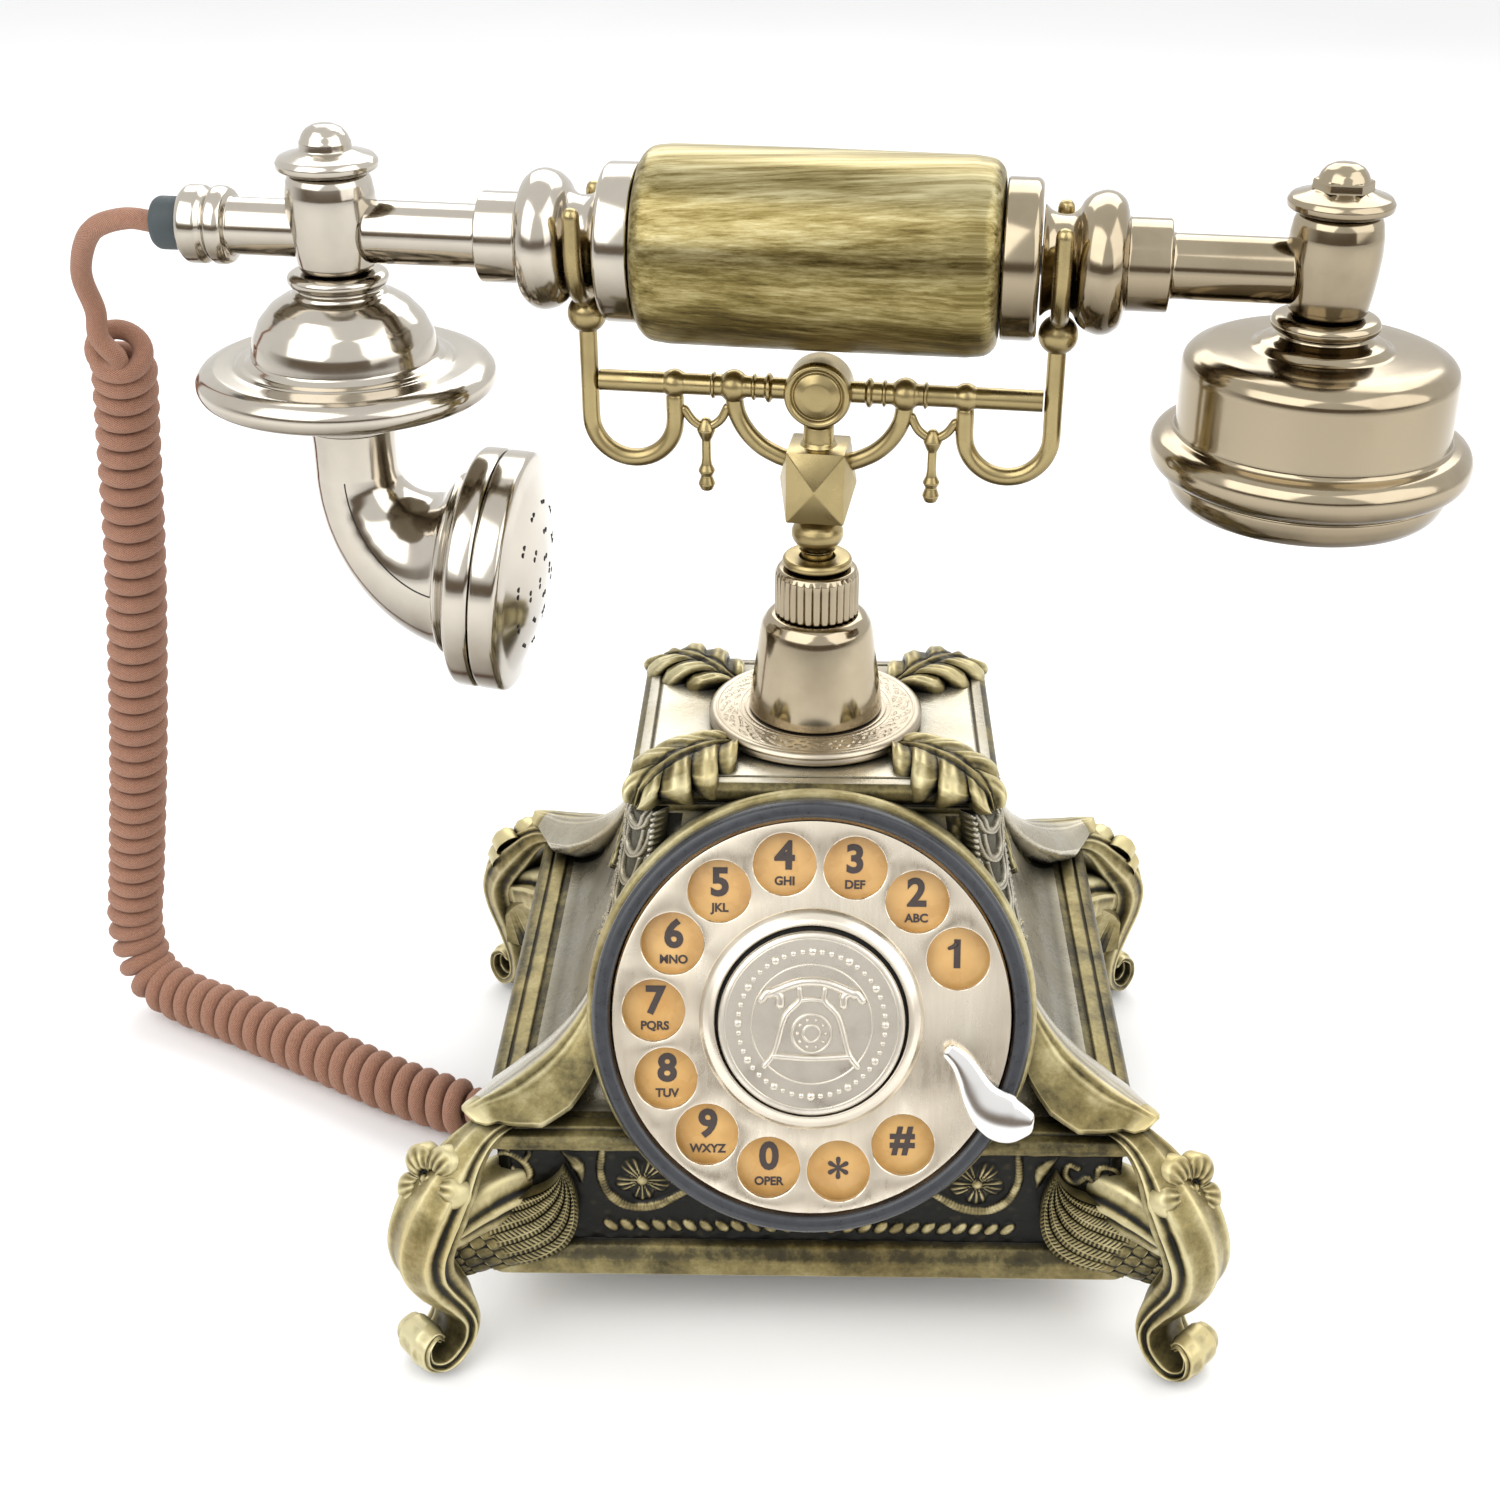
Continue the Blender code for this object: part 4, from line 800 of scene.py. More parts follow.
def handset():
    grip = [(8.0, -37.5), (15.4, -37.5), (18.0, -37.1), (19.8, -35.2), (20.3, -31.0), (20.45, 0.0),
            (20.3, 31.0), (19.8, 35.2), (18.0, 37.1), (15.4, 37.5), (8.0, 37.5)]
    part("handset_grip", "brushed_brass", "grip_visual", grip, "grip", "handset", HANDSET_PLACE, 96, True,
         3.0, "X", None)
    for name, side in (("left", -1.0), ("right", 1.0)):
        collar = [(8.0, 37.8), (16.4, 37.8), (16.4, 44.2), (15.4, 45.2), (8.0, 45.2)]
        # painted shade: the right-hand pieces of the same nickel plating get the darker copy
        finish = "aged" if side > 0 else "polished"
        part(f"collar_{name}", "polished_nickel", f"collar_{name}_visual", flip(collar, side), finish,
             "handset", HANDSET_PLACE, 96, True, 0.6, "X")
        arm = [(3.3, 45.5), (11.6, 45.5), (10.2, 46.8), (9.4, 48.8), (9.4, 50.9), (10.4, 52.4),
               (12.2, 53.2), (13.8, 55.0), (14.6, 57.6), (14.3, 59.8), (12.8, 61.8), (10.6, 62.6),
               (9.4, 62.7), (9.4, 71.1), (9.0, 71.4), (6.6, 71.5), (6.6, TEE_X - 7.6), (3.3, TEE_X - 7.6)]
        part(f"arm_{name}", "polished_nickel", f"arm_{name}_visual", flip(arm, side), finish, "handset",
             HANDSET_PLACE, 96, True, 0.9, "X", 50.0)
        barrel = [(0.0, 228.2), (7.4, 228.2), (7.9, 228.8), (8.2, 230.0), (8.7, 233.0), (9.2, 237.0),
                  (9.5, 241.0), (9.4, 244.4), (8.9, 247.2), (8.2, 248.6), (0.0, 248.7)]
        part(f"tee_{name}", "polished_nickel", f"tee_{name}_visual", barrel, finish, "handset",
             tee_place(side), 96, False, 0.5)
        finial = [(0.0, 249.0), (9.4, 249.0), (10.6, 249.8), (10.7, 251.0), (10.0, 252.0), (7.4, 252.7),
                  (5.5, 253.4), (5.4, 255.0), (5.1, 255.5), (4.7, 256.5), (3.8, 257.6), (2.2, 258.4),
                  (0.0, 258.6)]
        part(f"finial_{name}", "polished_nickel", f"finial_{name}_visual", finial, finish, "handset",
             tee_place(side), 96, False, 0.3, wave=six_sided if side > 0 else None)
    tail = [(3.3, -99.8), (6.0, -99.8), (6.0, -125.6), (7.6, -126.0), (8.2, -127.2), (8.2, -129.2),
            (7.2, -130.2), (7.2, -130.6), (8.2, -131.6), (8.2, -135.0), (7.2, -136.2), (3.3, -136.2)]
    part("tail_ferrule", "polished_nickel", "tail_visual", tail, "polished", "handset", HANDSET_PLACE, 72,
         True, 0.5, "X")


def six_sided(angle, r, h):
    """Turns the foot of a finial's dome into a hexagon."""
    if not 253.3 < h < 255.3 or r < 5.0:
        return np.zeros_like(angle)
    sector = np.mod(angle, math.pi / 3) - math.pi / 6
    return r * (1.02 * math.cos(math.pi / 6) / np.cos(sector) - 0.90)


def mouthpiece():
    place = tee_place(-1.0)
    bell = [(0.0, 227.9), (9.4, 227.9), (10.6, 227.3), (10.9, 226.3), (10.4, 225.3), (9.4, 224.9),
            (9.2, 224.3), (9.9, 223.8), (10.3, 223.2), (12.0, 222.5), (15.0, 220.7), (17.8, 217.6),
            (19.4, 214.2), (20.0, 211.2), (20.1, 209.9), (20.9, 209.4), (21.5, 208.9), (23.2, 208.7),
            (23.8, 208.3), (25.6, 208.2), (28.6, 208.2), (30.8, 207.5), (32.2, 205.9), (32.4, 204.2),
            (31.8, 202.5), (30.4, 201.5), (28.4, 201.2), (25.6, 202.2), (14.0, 202.6), (12.2, 201.6),
            (0.0, 201.6)]
    part("bell_flange", "polished_nickel", "bell_visual", bell, "polished", "handset", place, 128, False,
         0.7)
    horn()
    mouth_cap()


def horn_line():
    """The horn's middle line, the radius along it and the way its mouth faces."""
    away = np.array((math.sin(HORN_BEND), 0.0, -math.cos(HORN_BEND)))
    mouth = np.array(MOUTH)
    end = mouth - away * 16.0
    turn = (end[0] + TEE_X) / (1 - math.cos(HORN_BEND))
    level = end[2] + turn * math.sin(HORN_BEND)
    collar = [(201.3, 11.9), (200.2, 11.8), (199.8, 10.9), (199.6, 10.6), (197.2, 10.4), (196.9, 10.9),
              (196.6, 11.1), (195.6, 11.1), (195.3, 10.6), (195.1, 10.5), (194.8, 10.9), (194.0, 11.0),
              (193.6, 10.6), (193.4, 9.3), (190.0, 9.1)]
    angle = np.linspace(0, HORN_BEND, 44)
    elbow = np.stack([turn * (1 - np.cos(angle)) - TEE_X, np.zeros(44), level - turn * np.sin(angle)],
                     axis=-1)
    flare = [(15.7, 19.6), (15.4, 20.3), (14.9, 20.7), (14.4, 20.6), (14.0, 20.3), (13.4, 20.9),
             (12.6, 22.6), (11.9, 24.8), (11.2, 26.5), (10.6, 27.1), (10.0, 27.3), (6.6, 27.3), (6.2, 27.2),
             (5.8, 26.9)]
    points = [(-TEE_X, 0.0, height - HANDSET_Z) for height,
              _ in collar] + elbow.tolist() + [mouth - away * back for back, _ in flare]
    radii = [r for _, r in collar] + spread([9.1, 9.4, 10.0, 10.9, 12.0, 13.3, 14.8, 16.4, 18.0, 19.4],
                                            44).tolist()
    return np.array(points), np.array(radii + [r for _, r in flare]), away


def horn():
    """The horn: a thin-walled pipe along its line, with a seam on each side."""
    line, outer, _ = horn_line()
    count = len(line)
    section = circle(96)
    _, side, up = frames(line, (0.0, 1.0, 0.0))
    rows = []
    for i in list(range(count)) + list(range(count - 1, 16, -1)):
        inner = 0.0 if len(rows) < count else 1.5
        rows.append(line[i] + np.outer(section[:, 0] * (outer[i] - inner),
                                       side[i]) + np.outer(section[:, 1] * (outer[i] - inner), up[i]))
    points = np.array(rows).reshape(-1, 3)
    made = new_object("horn_visual", points, grid_faces(len(rows), 96, False, True), "polished", "handset",
                      HANDSET_PLACE, True, None)
    recalculate(made)
    stands_for(made, "horn_elbow", slot="polished_nickel")
    seams = []
    for edge in (-1.0, 1.0):
        lift = line + side * (edge * (outer + 0.02))[:, None]
        seams.append(rod("seam", lift[16:-14], 0.16, "groove", None, HANDSET_PLACE, 6, 80, False))
    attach(join("horn_seams", seams, "handset"), "handset")


def mouth_place():
    away = horn_line()[2]
    turn = Matrix.Rotation(math.atan2(away[0], away[2]), 4, "Y")
    return HANDSET_PLACE @ Matrix.Translation(MOUTH) @ turn


def mouth_cap():
    place = mouth_place()
    cap = [(0.0, 5.6), (6.0, 5.35), (12.0, 4.5), (18.0, 2.9), (22.6, 1.4), (24.4, 1.1), (26.4, 0.7),
           (27.2, 0.0), (27.3, -0.8), (27.3, -5.0), (26.9, -5.5), (25.2, -5.5), (25.2, -7.4), (23.6, -7.4),
           (23.6, -1.2), (16.0, 1.6), (8.0, 3.2), (0.0, 3.8)]
    part("mouth_cap", "polished_nickel", "mouth_cap_visual", cap, "polished", "handset", place, 128, False,
         0.7)
    # painted shade: each hole is a small near-black disc set into the cap where the shade inside an opening
    # would be; the cap itself is not pierced
    holes = []
    for ring, count, shift in ((4.6, 4, 0.0), (10.4, 7, 0.3), (16.4, 11, 0.0)):
        for k in range(count):
            angle = 2 * math.pi * k / count + shift
            for gap in (-0.17, 0.17):
                swing = angle + gap * 5.0 / max(ring, 5.0)
                height = np.interp(ring, [0.0, 6.0, 12.0, 18.0], [5.6, 5.35, 4.5, 2.9])
                centre = (ring * math.cos(swing), ring * math.sin(swing), height - 0.25)
                spot = place @ Matrix.Translation(centre)
                holes.append(lathe("hole", [(0.0, 0.0), (0.62, 0.0), (0.62, 0.34), (0.0, 0.34)], "groove",
                                   None, spot, 12, radius=0.0))
    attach(join("mouth_holes", holes, "handset"), "handset")


def receiver():
    place = tee_place(1.0)
    shell = [(3.0, 227.9), (9.2, 227.9), (10.7, 227.5), (11.3, 226.3), (10.8, 225.1), (9.6, 224.8),
             (9.2, 224.4), (9.4, 223.8), (10.6, 223.0), (12.8, 222.5), (13.6, 221.8), (14.6, 221.2),
             (20.0, 221.05), (24.0, 220.7), (26.6, 219.7), (28.0, 218.3), (28.4, 216.6), (28.4, 204.6),
             (28.5, 203.4), (28.9, 202.7), (30.8, 202.4), (32.5, 201.5), (33.4, 199.8), (33.4, 197.4),
             (32.6, 195.6), (30.8, 194.4), (29.4, 194.2), (27.2, 194.2), (27.2, 216.4), (24.8, 218.6),
             (12.0, 219.6), (3.0, 222.0)]
    # painted shade: the receiver shell and its ear cap get the darker copy of the polished nickel
    part("receiver_shell", "polished_nickel", "receiver_visual", shell, "aged", "handset", place, 128, True,
         0.8)
    cap = [(2.2, 190.6), (4.6, 189.8), (16.0, 189.0), (23.6, 187.6), (25.4, 187.4), (27.1, 188.0),
           (28.5, 189.6), (29.3, 191.6), (29.6, 193.2), (29.4, 193.9), (26.0, 193.9), (26.0, 191.6),
           (2.2, 192.6)]
    part("ear_cap", "polished_nickel", "ear_cap_visual", cap, "aged", "handset", place, 128, True, 0.6)


# ---------------------------------------------------------------- cradle and stem


def bead(centre, radius, half, bar=2.3, steps=10):
    points = []
    for i in range(steps + 1):
        share = -1.0 + 2.0 * i / steps
        points.append((max(bar, radius * math.sqrt(max(0.0, 1 - share * share))), centre + share * half))
    return points


def cradle():
    half = [(2.3, 6.0)] + bead(10.8, 3.2, 1.1) + bead(14.0, 2.9, 0.8) + bead(18.4, 3.6, 3.3, steps=14)
    half += bead(22.8, 2.9, 0.8) + bead(31.3, 3.1, 3.0, steps=14) + [(2.3, 34.8), (2.3, 47.6)]
    profile = [(0.0, -47.6)] + [(r, -x) for r, x in reversed(half)] + half + [(0.0, 47.6)]
    place = CRADLE_PLACE @ Matrix.Translation((0, 0, 206.5))
    pieces = [lathe("bar", profile, "antique", None, place, 40, False, 0.15, "X", 45.0)]
    boss = [(0.0, -5.0), (6.2, -5.0), (7.2, -4.0), (7.3, -2.0), (7.3, 3.6), (6.9, 4.7), (6.3, 5.0),
            (5.7, 4.6), (5.3, 3.9), (4.9, 4.4), (3.0, 5.2), (0.0, 5.5)]
    turn = Matrix.Rotation(math.pi, 4, "Z")
    pieces.append(lathe("boss", boss, "antique", None, place @ turn, 64, False, 0.3, "Y", 45.0))
    for side in (-1.0, 1.0):
        def at(points, side=side):
            return [(side * x, y, z) for x, y, z in points]
        arm = at([(18.4, 0, 203.8), (17.6, 0, 200.0), (15.6, 0, 196.4), (12.6, 0, 193.4), (9.2, 0, 191.5),
                  (7.0, 0, 190.7)])
        pieces.append(rod("arm", arm, 1.95, "antique", None, CRADLE_PLACE, 24, 40))
        pieces.append(rod("link", at([(19.9, 0, 201.6), (21.3, 0, 198.9), (23.4, 0, 197.3),
                                      (25.4, 0, 197.1), (27.6, 0, 198.4), (29.3, 0, 200.8)]), 1.0,
                          "antique", None, CRADLE_PLACE, 16, 30))
        drop = [(0.0, 182.2), (1.3, 182.6), (1.9, 184.0), (1.3, 185.6), (1.3, 185.9), (1.9, 187.0),
                (1.2, 188.4), (1.0, 190.0), (1.0, 194.0), (1.5, 194.9), (2.1, 196.4), (1.5, 197.9),
                (0.8, 198.9), (0.0, 199.2)]
        spot = CRADLE_PLACE @ Matrix.Translation((side * 24.6, 0, 0))
        pieces.append(lathe("drop", drop, "antique", None, spot, 28, False, 0.25, "Z", 60.0))
    made = join("cradle_frame_visual", pieces, "cradle")
    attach(made, "cradle")
    stands_for(made, "cradle_frame", slot="antique_brass")
    block()
    for name, side in (("left", -1.0), ("right", 1.0)):
        fork(name, side)


def block():
    half, low, high = 6.3, 178.2, 194.4
    middle = (low + high) / 2
    mesh = bmesh.new()
    corners = {}
    for x in (-half, half):
        for y in (-half, half):
            for z in (low, high):
                corners[x, y, z] = mesh.verts.new((x, y, z))
    for axis in (0, 1):
        for sign in (-1.0, 1.0):
            ring = [(-half, low), (half, low), (half, high), (-half, high)]
            loop = [corners[(sign * half, u, v) if axis == 0 else (u, sign * half, v)] for u, v in ring]
            peak = (sign * (half + 2.2), 0, middle) if axis == 0 else (0, sign * (half + 2.4), middle)
            top = mesh.verts.new(peak)
            for a, b in zip(loop, loop[1:] + loop[:1]):
                mesh.faces.new((a, b, top))
    for z in (low, high):
        mesh.faces.new([corners[x * half, y * half, z] for x, y in ((-1, -1), (1, -1), (1, 1), (-1, 1))])
    bmesh.ops.recalc_face_normals(mesh, faces=mesh.faces)
    bmesh.ops.bevel(mesh, geom=mesh.edges[:] + mesh.verts[:], offset=0.28, segments=2, affect="EDGES",
                    profile=0.6)
    points = [tuple(v.co) for v in mesh.verts]
    faces = [[v.index for v in face.verts] for face in mesh.faces]
    mesh.verts.index_update()
    faces = [[v.index for v in face.verts] for face in mesh.faces]
    mesh.free()
    body = new_object("block", points, faces, "antique", None, CRADLE_PLACE, True, 22.0)
    neck = lathe("neck", [(0.0, 193.8), (4.2, 194.2), (3.4, 195.2), (3.3, 198.8), (0.0, 199.0)], "antique",
                 None, CRADLE_PLACE, 40)
    made = join("cradle_block_visual", [body, neck], "cradle")
    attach(made, "cradle")
    stands_for(made, "cradle_block", slot="antique_brass")


def arc(centre, radius, start, end, count, plane="XZ"):
    angle = np.radians(np.linspace(start, end, count))
    u, v = radius * np.cos(angle), radius * np.sin(angle)
    zero = np.zeros(count)
    offset = np.stack([u, zero, v] if plane == "XZ" else [zero, u, v], axis=-1)
    return (np.array(centre) + offset).tolist()


def fork(name, side):
    path = [(49.8, 0, 221.0), (49.8, 0, 212.0), (49.8, 0, 204.0)]
    path += arc((40.55, 0, 198.4), 9.25, 0, -180, 12)
    path += [(31.3, 0, 201.0), (31.3, 0, 203.4)]
    path = [(side * x, y, z) for x, y, z in path]
    pieces = [rod("loop", path, 1.95, "antique", None, CRADLE_PLACE, 24, 90)]
    pieces.append(ball("knot", (side * 49.8, 0, HANDSET_Z - 15.4), 4.2, "antique", None, CRADLE_PLACE))
    bend = 11.6
    prongs = [(side * 49.8, -bend, HANDSET_Z + 8.0), (side * 49.8, -bend, HANDSET_Z + 4.0)]
    prongs += arc((side * 49.8, 0, HANDSET_Z), bend, 180, 360, 14, "YZ")
    prongs += [(side * 49.8, bend, HANDSET_Z + 4.0), (side * 49.8, bend, HANDSET_Z + 8.0)]
    pieces.append(rod("prongs", prongs, [1.8] + [1.9] * 12 + [1.8], "antique", None, CRADLE_PLACE, 24, 90))
    made = join(f"fork_{name}_visual", pieces, "cradle")
    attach(made, "cradle")
    stands_for(made, f"fork_{name}", slot="antique_brass")


def stem():
    plunger = [(0.0, 106.1), (2.2, 106.3), (3.5, 110.0), (3.5, 143.4), (5.9, 143.4), (5.9, 145.0),
               (3.5, 145.4), (3.5, 169.6), (4.2, 170.2)]
    centre, radius = 173.9, 5.8
    plunger += [(radius * math.cos(math.radians(a)),
                 centre + radius * 0.72 * math.sin(math.radians(a))) for a in range(-60, 66, 12)]
    plunger += [(2.9, 177.7), (0.0, 177.9)]
    part("cradle_plunger", "antique_brass", "plunger_visual", plunger, "antique", "cradle", WORLD, 64,
         False, 0.2)
    nut = [(4.0, 166.3), (7.3, 166.3), (7.8, 166.8), (7.8, 167.7), (7.2, 168.4), (4.0, 168.4)]
    part("stem_nut", "plain_brass", "stem_nut_visual", nut, "antique", "base", WORLD, 72, True, 0.3)
    cone = [(6.4, 131.3), (15.3, 131.3), (15.2, 132.4), (12.8, 150.6), (12.3, 152.4), (11.2, 154.0),
            (10.0, 154.8), (6.4, 154.8)]
    # painted shade: the stem cone gets the darker copy of the polished nickel
    part("stem_cone", "polished_nickel", "stem_cone_visual", cone, "aged", "base", WORLD, 128, True, 0.5)
    fluted_collar()
    flange()


def fluted_collar():
    def flutes(angle, r, h):
        if r < 8.0 or h > 165.2:
            return np.zeros_like(angle)
        wave = np.abs(np.sin(15.0 * angle)) ** 0.55
        fade = 1.0 if h < 164.2 else 0.4
        return -0.75 * (1 - wave) * fade
    profile = [(4.0, 155.1), (9.3, 155.1), (9.45, 155.4), (9.45, 158.0), (9.45, 163.0), (9.4, 164.4),
               (8.9, 165.4), (8.4, 165.8), (4.0, 166.0)]
    # painted shade: the fluted collar gets the darker copy of the polished nickel
    part("knurled_collar", "polished_nickel", "collar_fluted_visual", profile, "aged", "base", WORLD, 480,
         True, 0.12, wave=flutes, sharp=70.0)


def flange():
    """The stem's round foot, with an engraved band of leaves between a beaded line and a plain incised
    line.
    """
    radii = np.concatenate([np.linspace(3.9, 14.9, 4), np.arange(15.1, 23.4, 0.16),
                            [23.6, 24.0, 24.35, 24.5]])
    sides = 720
    angle = around(sides)
    r, a = np.meshgrid(radii, angle, indexing="ij")
    depth = np.zeros_like(r)
    for ring, beads in ((16.7, 90), (22.6, 0)):
        line = np.exp(-((r - ring) / 0.22) ** 2)
        depth -= 0.16 * line if beads == 0 else 0.0
        if beads:
            depth += 0.14 * line * (0.5 + 0.5 * np.cos(beads * a)) ** 2
            outer = np.exp(-((r - ring - 0.62) / 0.15) ** 2)
            inner = np.exp(-((r - ring + 0.62) / 0.15) ** 2)
            depth -= 0.12 * (outer + inner)
    band = clamp((r - 17.9) / 0.3) * clamp((22.0 - r) / 0.3)
    vine = np.abs(r - 19.95 - 0.9 * np.sin(12 * a))
    leaves = np.maximum(np.cos(36 * a + 2.6 * np.sin(2.1 * (r - 20) + 12 * a)),
                        np.cos(30 * a - 3.1 * (r - 19.6)))
    pattern = np.where(vine < 0.3, 1.0, clamp(leaves * 2.2 - 0.2))
    depth += band * (0.20 * pattern - 0.20)
    height = 131.0 + depth
    height[-4:] = np.array([130.95, 130.7, 130.4, 130.0])[:, None]
    rows = list(np.stack([r * np.cos(a), r * np.sin(a), height], axis=-1))
    edge = [(24.1, 129.6), (24.1, 129.3), (24.5, 128.9), (24.4, 128.2), (23.6, 127.8), (3.9, 127.8)]
    for radius, level in edge:
        rows.append(np.stack([radius * np.cos(angle), radius * np.sin(angle), np.full(sides, level)],
                             axis=-1))
    points = np.array(rows).reshape(-1, 3)
    made = new_object("flange_visual", points, grid_faces(len(rows), sides, True, True), "foot", "base",
                      WORLD, True, None)
    recalculate(made, 60.0)
    stands_for(made, "stem_flange", slot="satin_nickel")


# ---------------------------------------------------------------- dial


def dial():
    bezel = [(45.7, -12.7), (45.7, -6.0), (47.7, -5.8), (47.7, -1.4), (46.9, -0.2), (46.0, 0.0),
             (44.6, -0.1), (44.0, -0.6), (44.0, -12.7)]
    part("dial_bezel", "bezel_black", "bezel_visual", bezel, "bezel", "base", DIAL_PLACE, 160, True, 0.5)
    plate = [(5.6, -6.4), (43.7, -6.4), (43.7, -5.2), (5.6, -5.2)]
    part("number_plate", "number_amber", "plate_visual", plate, "amber", "base", DIAL_PLACE, 120, True, 0.1)
    finger_wheel()
    hub = [(3.3, -17.0), (5.2, -17.0), (5.2, -3.2), (11.7, -3.2), (11.7, -0.7), (24.4, -0.7), (24.35, -0.3),
           (23.4, 0.7), (22.2, 1.5), (21.2, 1.8), (20.8, 1.6), (20.8, 0.2), (3.3, 0.2)]
    part("wheel_hub", "satin_nickel", "hub_visual", hub, "satin", "dial", DIAL_PLACE, 160, True, 0.25)
    # painted shade: a near-black disc on the hub's top under the button, where the button's shadow falls
    button_shade = lathe("hub_shade_disc", [(4.0, 0.25), (20.7, 0.25), (20.7, 0.55), (4.0, 0.55)], "groove", "dial",
                 DIAL_PLACE, 96, True, 0.05)
    button()
    numbers()
    finger_stop()


def hole_spots():
    for number in range(12):
        angle = FIRST_HOLE + number * HOLE_STEP
        yield number, HOLE_RING * math.cos(angle), HOLE_RING * math.sin(angle)


def finger_wheel():
    """The wheel is cut from a flat plate, then its edges are rounded."""
    outer = ring_points(0, 0, 43.3, 200)
    inner = ring_points(0, 0, 12.0, 80)
    loops = [outer, inner] + [ring_points(x, y, HOLE_RADIUS, 64) for _, x, y in hole_spots()]
    mesh = bmesh.new()
    edges = []
    for loop in loops:
        verts = [mesh.verts.new((x, y, -1.0)) for x, y in loop]
        for a, b in zip(verts, verts[1:] + verts[:1]):
            edges.append(mesh.edges.new((a, b)))
    bmesh.ops.triangle_fill(mesh, edges=edges, use_beauty=True, use_dissolve=False)
    for face in [f for f in mesh.faces if outside_plate(f.calc_center_median())]:
        mesh.faces.remove(face)
    top = list(mesh.faces)
    made = bmesh.ops.extrude_face_region(mesh, geom=top)
    for item in made["geom"]:
        if isinstance(item, bmesh.types.BMVert):
            item.co.z = -2.6
    bmesh.ops.recalc_face_normals(mesh, faces=mesh.faces)
    rim = [e for e in mesh.edges if len(e.link_faces) == 2 and e.calc_face_angle(0.0) > 1.0]
    bmesh.ops.bevel(mesh, geom=rim, offset=0.28, segments=3, affect="EDGES", profile=0.5)
    mesh.verts.index_update()
    points = [tuple(v.co) for v in mesh.verts]
    faces = [[v.index for v in f.verts] for f in mesh.faces]
    mesh.free()
    wheel = new_object("wheel_visual", points, faces, "wheel", "dial", DIAL_PLACE, True, 30.0)
    stands_for(wheel, "finger_wheel", slot="satin_nickel")


def outside_plate(centre):
    if math.hypot(centre.x, centre.y) < 11.9:
        return True
    return any(math.hypot(centre.x - x, centre.y - y) < HOLE_RADIUS - 0.1 for _, x, y in hole_spots())


def ring_points(x, y, radius, count):
    return [(x + radius * math.cos(2 * math.pi * k / count),
             y + radius * math.sin(2 * math.pi * k / count)) for k in range(count)]


def button():
    """The centre button: a beaded edge, an inner ring and a raised pictogram of a telephone."""
    profile = [(0.0, -24.0), (2.9, -24.0), (2.9, 2.1), (19.6, 2.1), (20.1, 2.6), (20.1, 3.3), (19.7, 3.8),
               (19.0, 4.0), (0.0, 4.0)]
    pieces = [lathe("cap", profile, "button", None, DIAL_PLACE, 128, False, 0.25)]
    for radius, thick in ((13.0, 0.22), (18.6, 0.2)):
        ring = [(radius * math.cos(a), radius * math.sin(a), 4.02) for a in np.linspace(0, 2 * math.pi, 97)]
        pieces.append(rod("ring", ring, thick, "button", None, DIAL_PLACE, 10, 160, False))
    for k in range(48):
        angle = 2 * math.pi * k / 48
        pieces.append(ball("bead", (15.8 * math.cos(angle), 15.8 * math.sin(angle), 4.0),
                           0.62 if k % 4 else 0.95, "button", None, DIAL_PLACE, 12, 0.6))
    strokes = [([(-7.4, 4.6), (-3.0, 6.4), (0, 6.8), (3.0, 6.4), (7.4, 4.6)], 0.85),
               ([(-8.6, 3.6), (-7.4, 4.9), (-5.6, 4.4), (-5.4, 2.8)], 0.8),
               ([(8.6, 3.6), (7.4, 4.9), (5.6, 4.4), (5.4, 2.8)], 0.8),
               ([(-2.2, 5.6), (-2.2, 3.4), (-4.6, 0.6), (-6.4, -5.6), (-8.0, -8.0)], 0.55),
               ([(2.2, 5.6), (2.2, 3.4), (4.6, 0.6), (6.4, -5.6), (8.0, -8.0)], 0.55),
               ([(-6.6, -6.2), (0, -6.6), (6.6, -6.2)], 0.6), ([(-2.4, 3.4), (0, 3.7), (2.4, 3.4)], 0.45)]
    for path, thick in strokes:
        line = [(1.25 * x, 1.25 * y + 0.8, 4.0) for x, y in path]
        pieces.append(rod("stroke", line, 1.25 * thick, "button", None, DIAL_PLACE, 12, 40))
    for radius in (4.2, 1.8):
        angles = np.linspace(0, 2 * math.pi, 49)
        ring = [(radius * math.cos(a), -2.0 + radius * math.sin(a), 4.05) for a in angles]
        pieces.append(rod("ring", ring, 0.36, "button", None, DIAL_PLACE, 10, 60, False))
    for k in range(10):
        angle = 2 * math.pi * k / 10
        pieces.append(ball("dot", (3.05 * math.cos(angle), -2.0 + 3.05 * math.sin(angle), 4.05), 0.42,
                           "button", None, DIAL_PLACE, 10))
    made = join("button_visual", pieces, "button")
    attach(made, "button")
    stands_for(made, "speaker_button", slot="silver_button")


def numbers():
    """Digits and letters on the fixed plate, shown through the holes: those of any such dial."""
    digits = ["1", "2", "3", "4", "5", "6", "7", "8", "9", "0", "*", "#"]
    letters = ["", "ABC", "DEF", "GHI", "JKL", "MNO", "PQRS", "TUV", "WXYZ", "OPER", "", ""]
    pieces = []
    for number, x, y in hole_spots():
        drop = 0.0 if number in (0, 10, 11) else 1.1
        size = 10.6 if number == 10 else 8.4
        lower = -2.6 if number == 10 else 0.0
        pieces.append(word(digits[number], x, y + drop + lower, size, 0.28 if number == 10 else 0.52))
        if number == 0:
            flag = [(x - 0.2, y + 2.55, -5.1), (x - 0.9, y + 1.9, -5.1), (x - 1.7, y + 1.55, -5.1)]
            pieces.append(rod("flag", flag, [0.5, 0.46, 0.4], "ink", None, DIAL_PLACE, 10, 16))
        if letters[number]:
            pieces.append(word(letters[number], x, y - 4.3, 2.6, 0.14))
    made = join("dial_digits", pieces, "base")
    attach(made, "base")


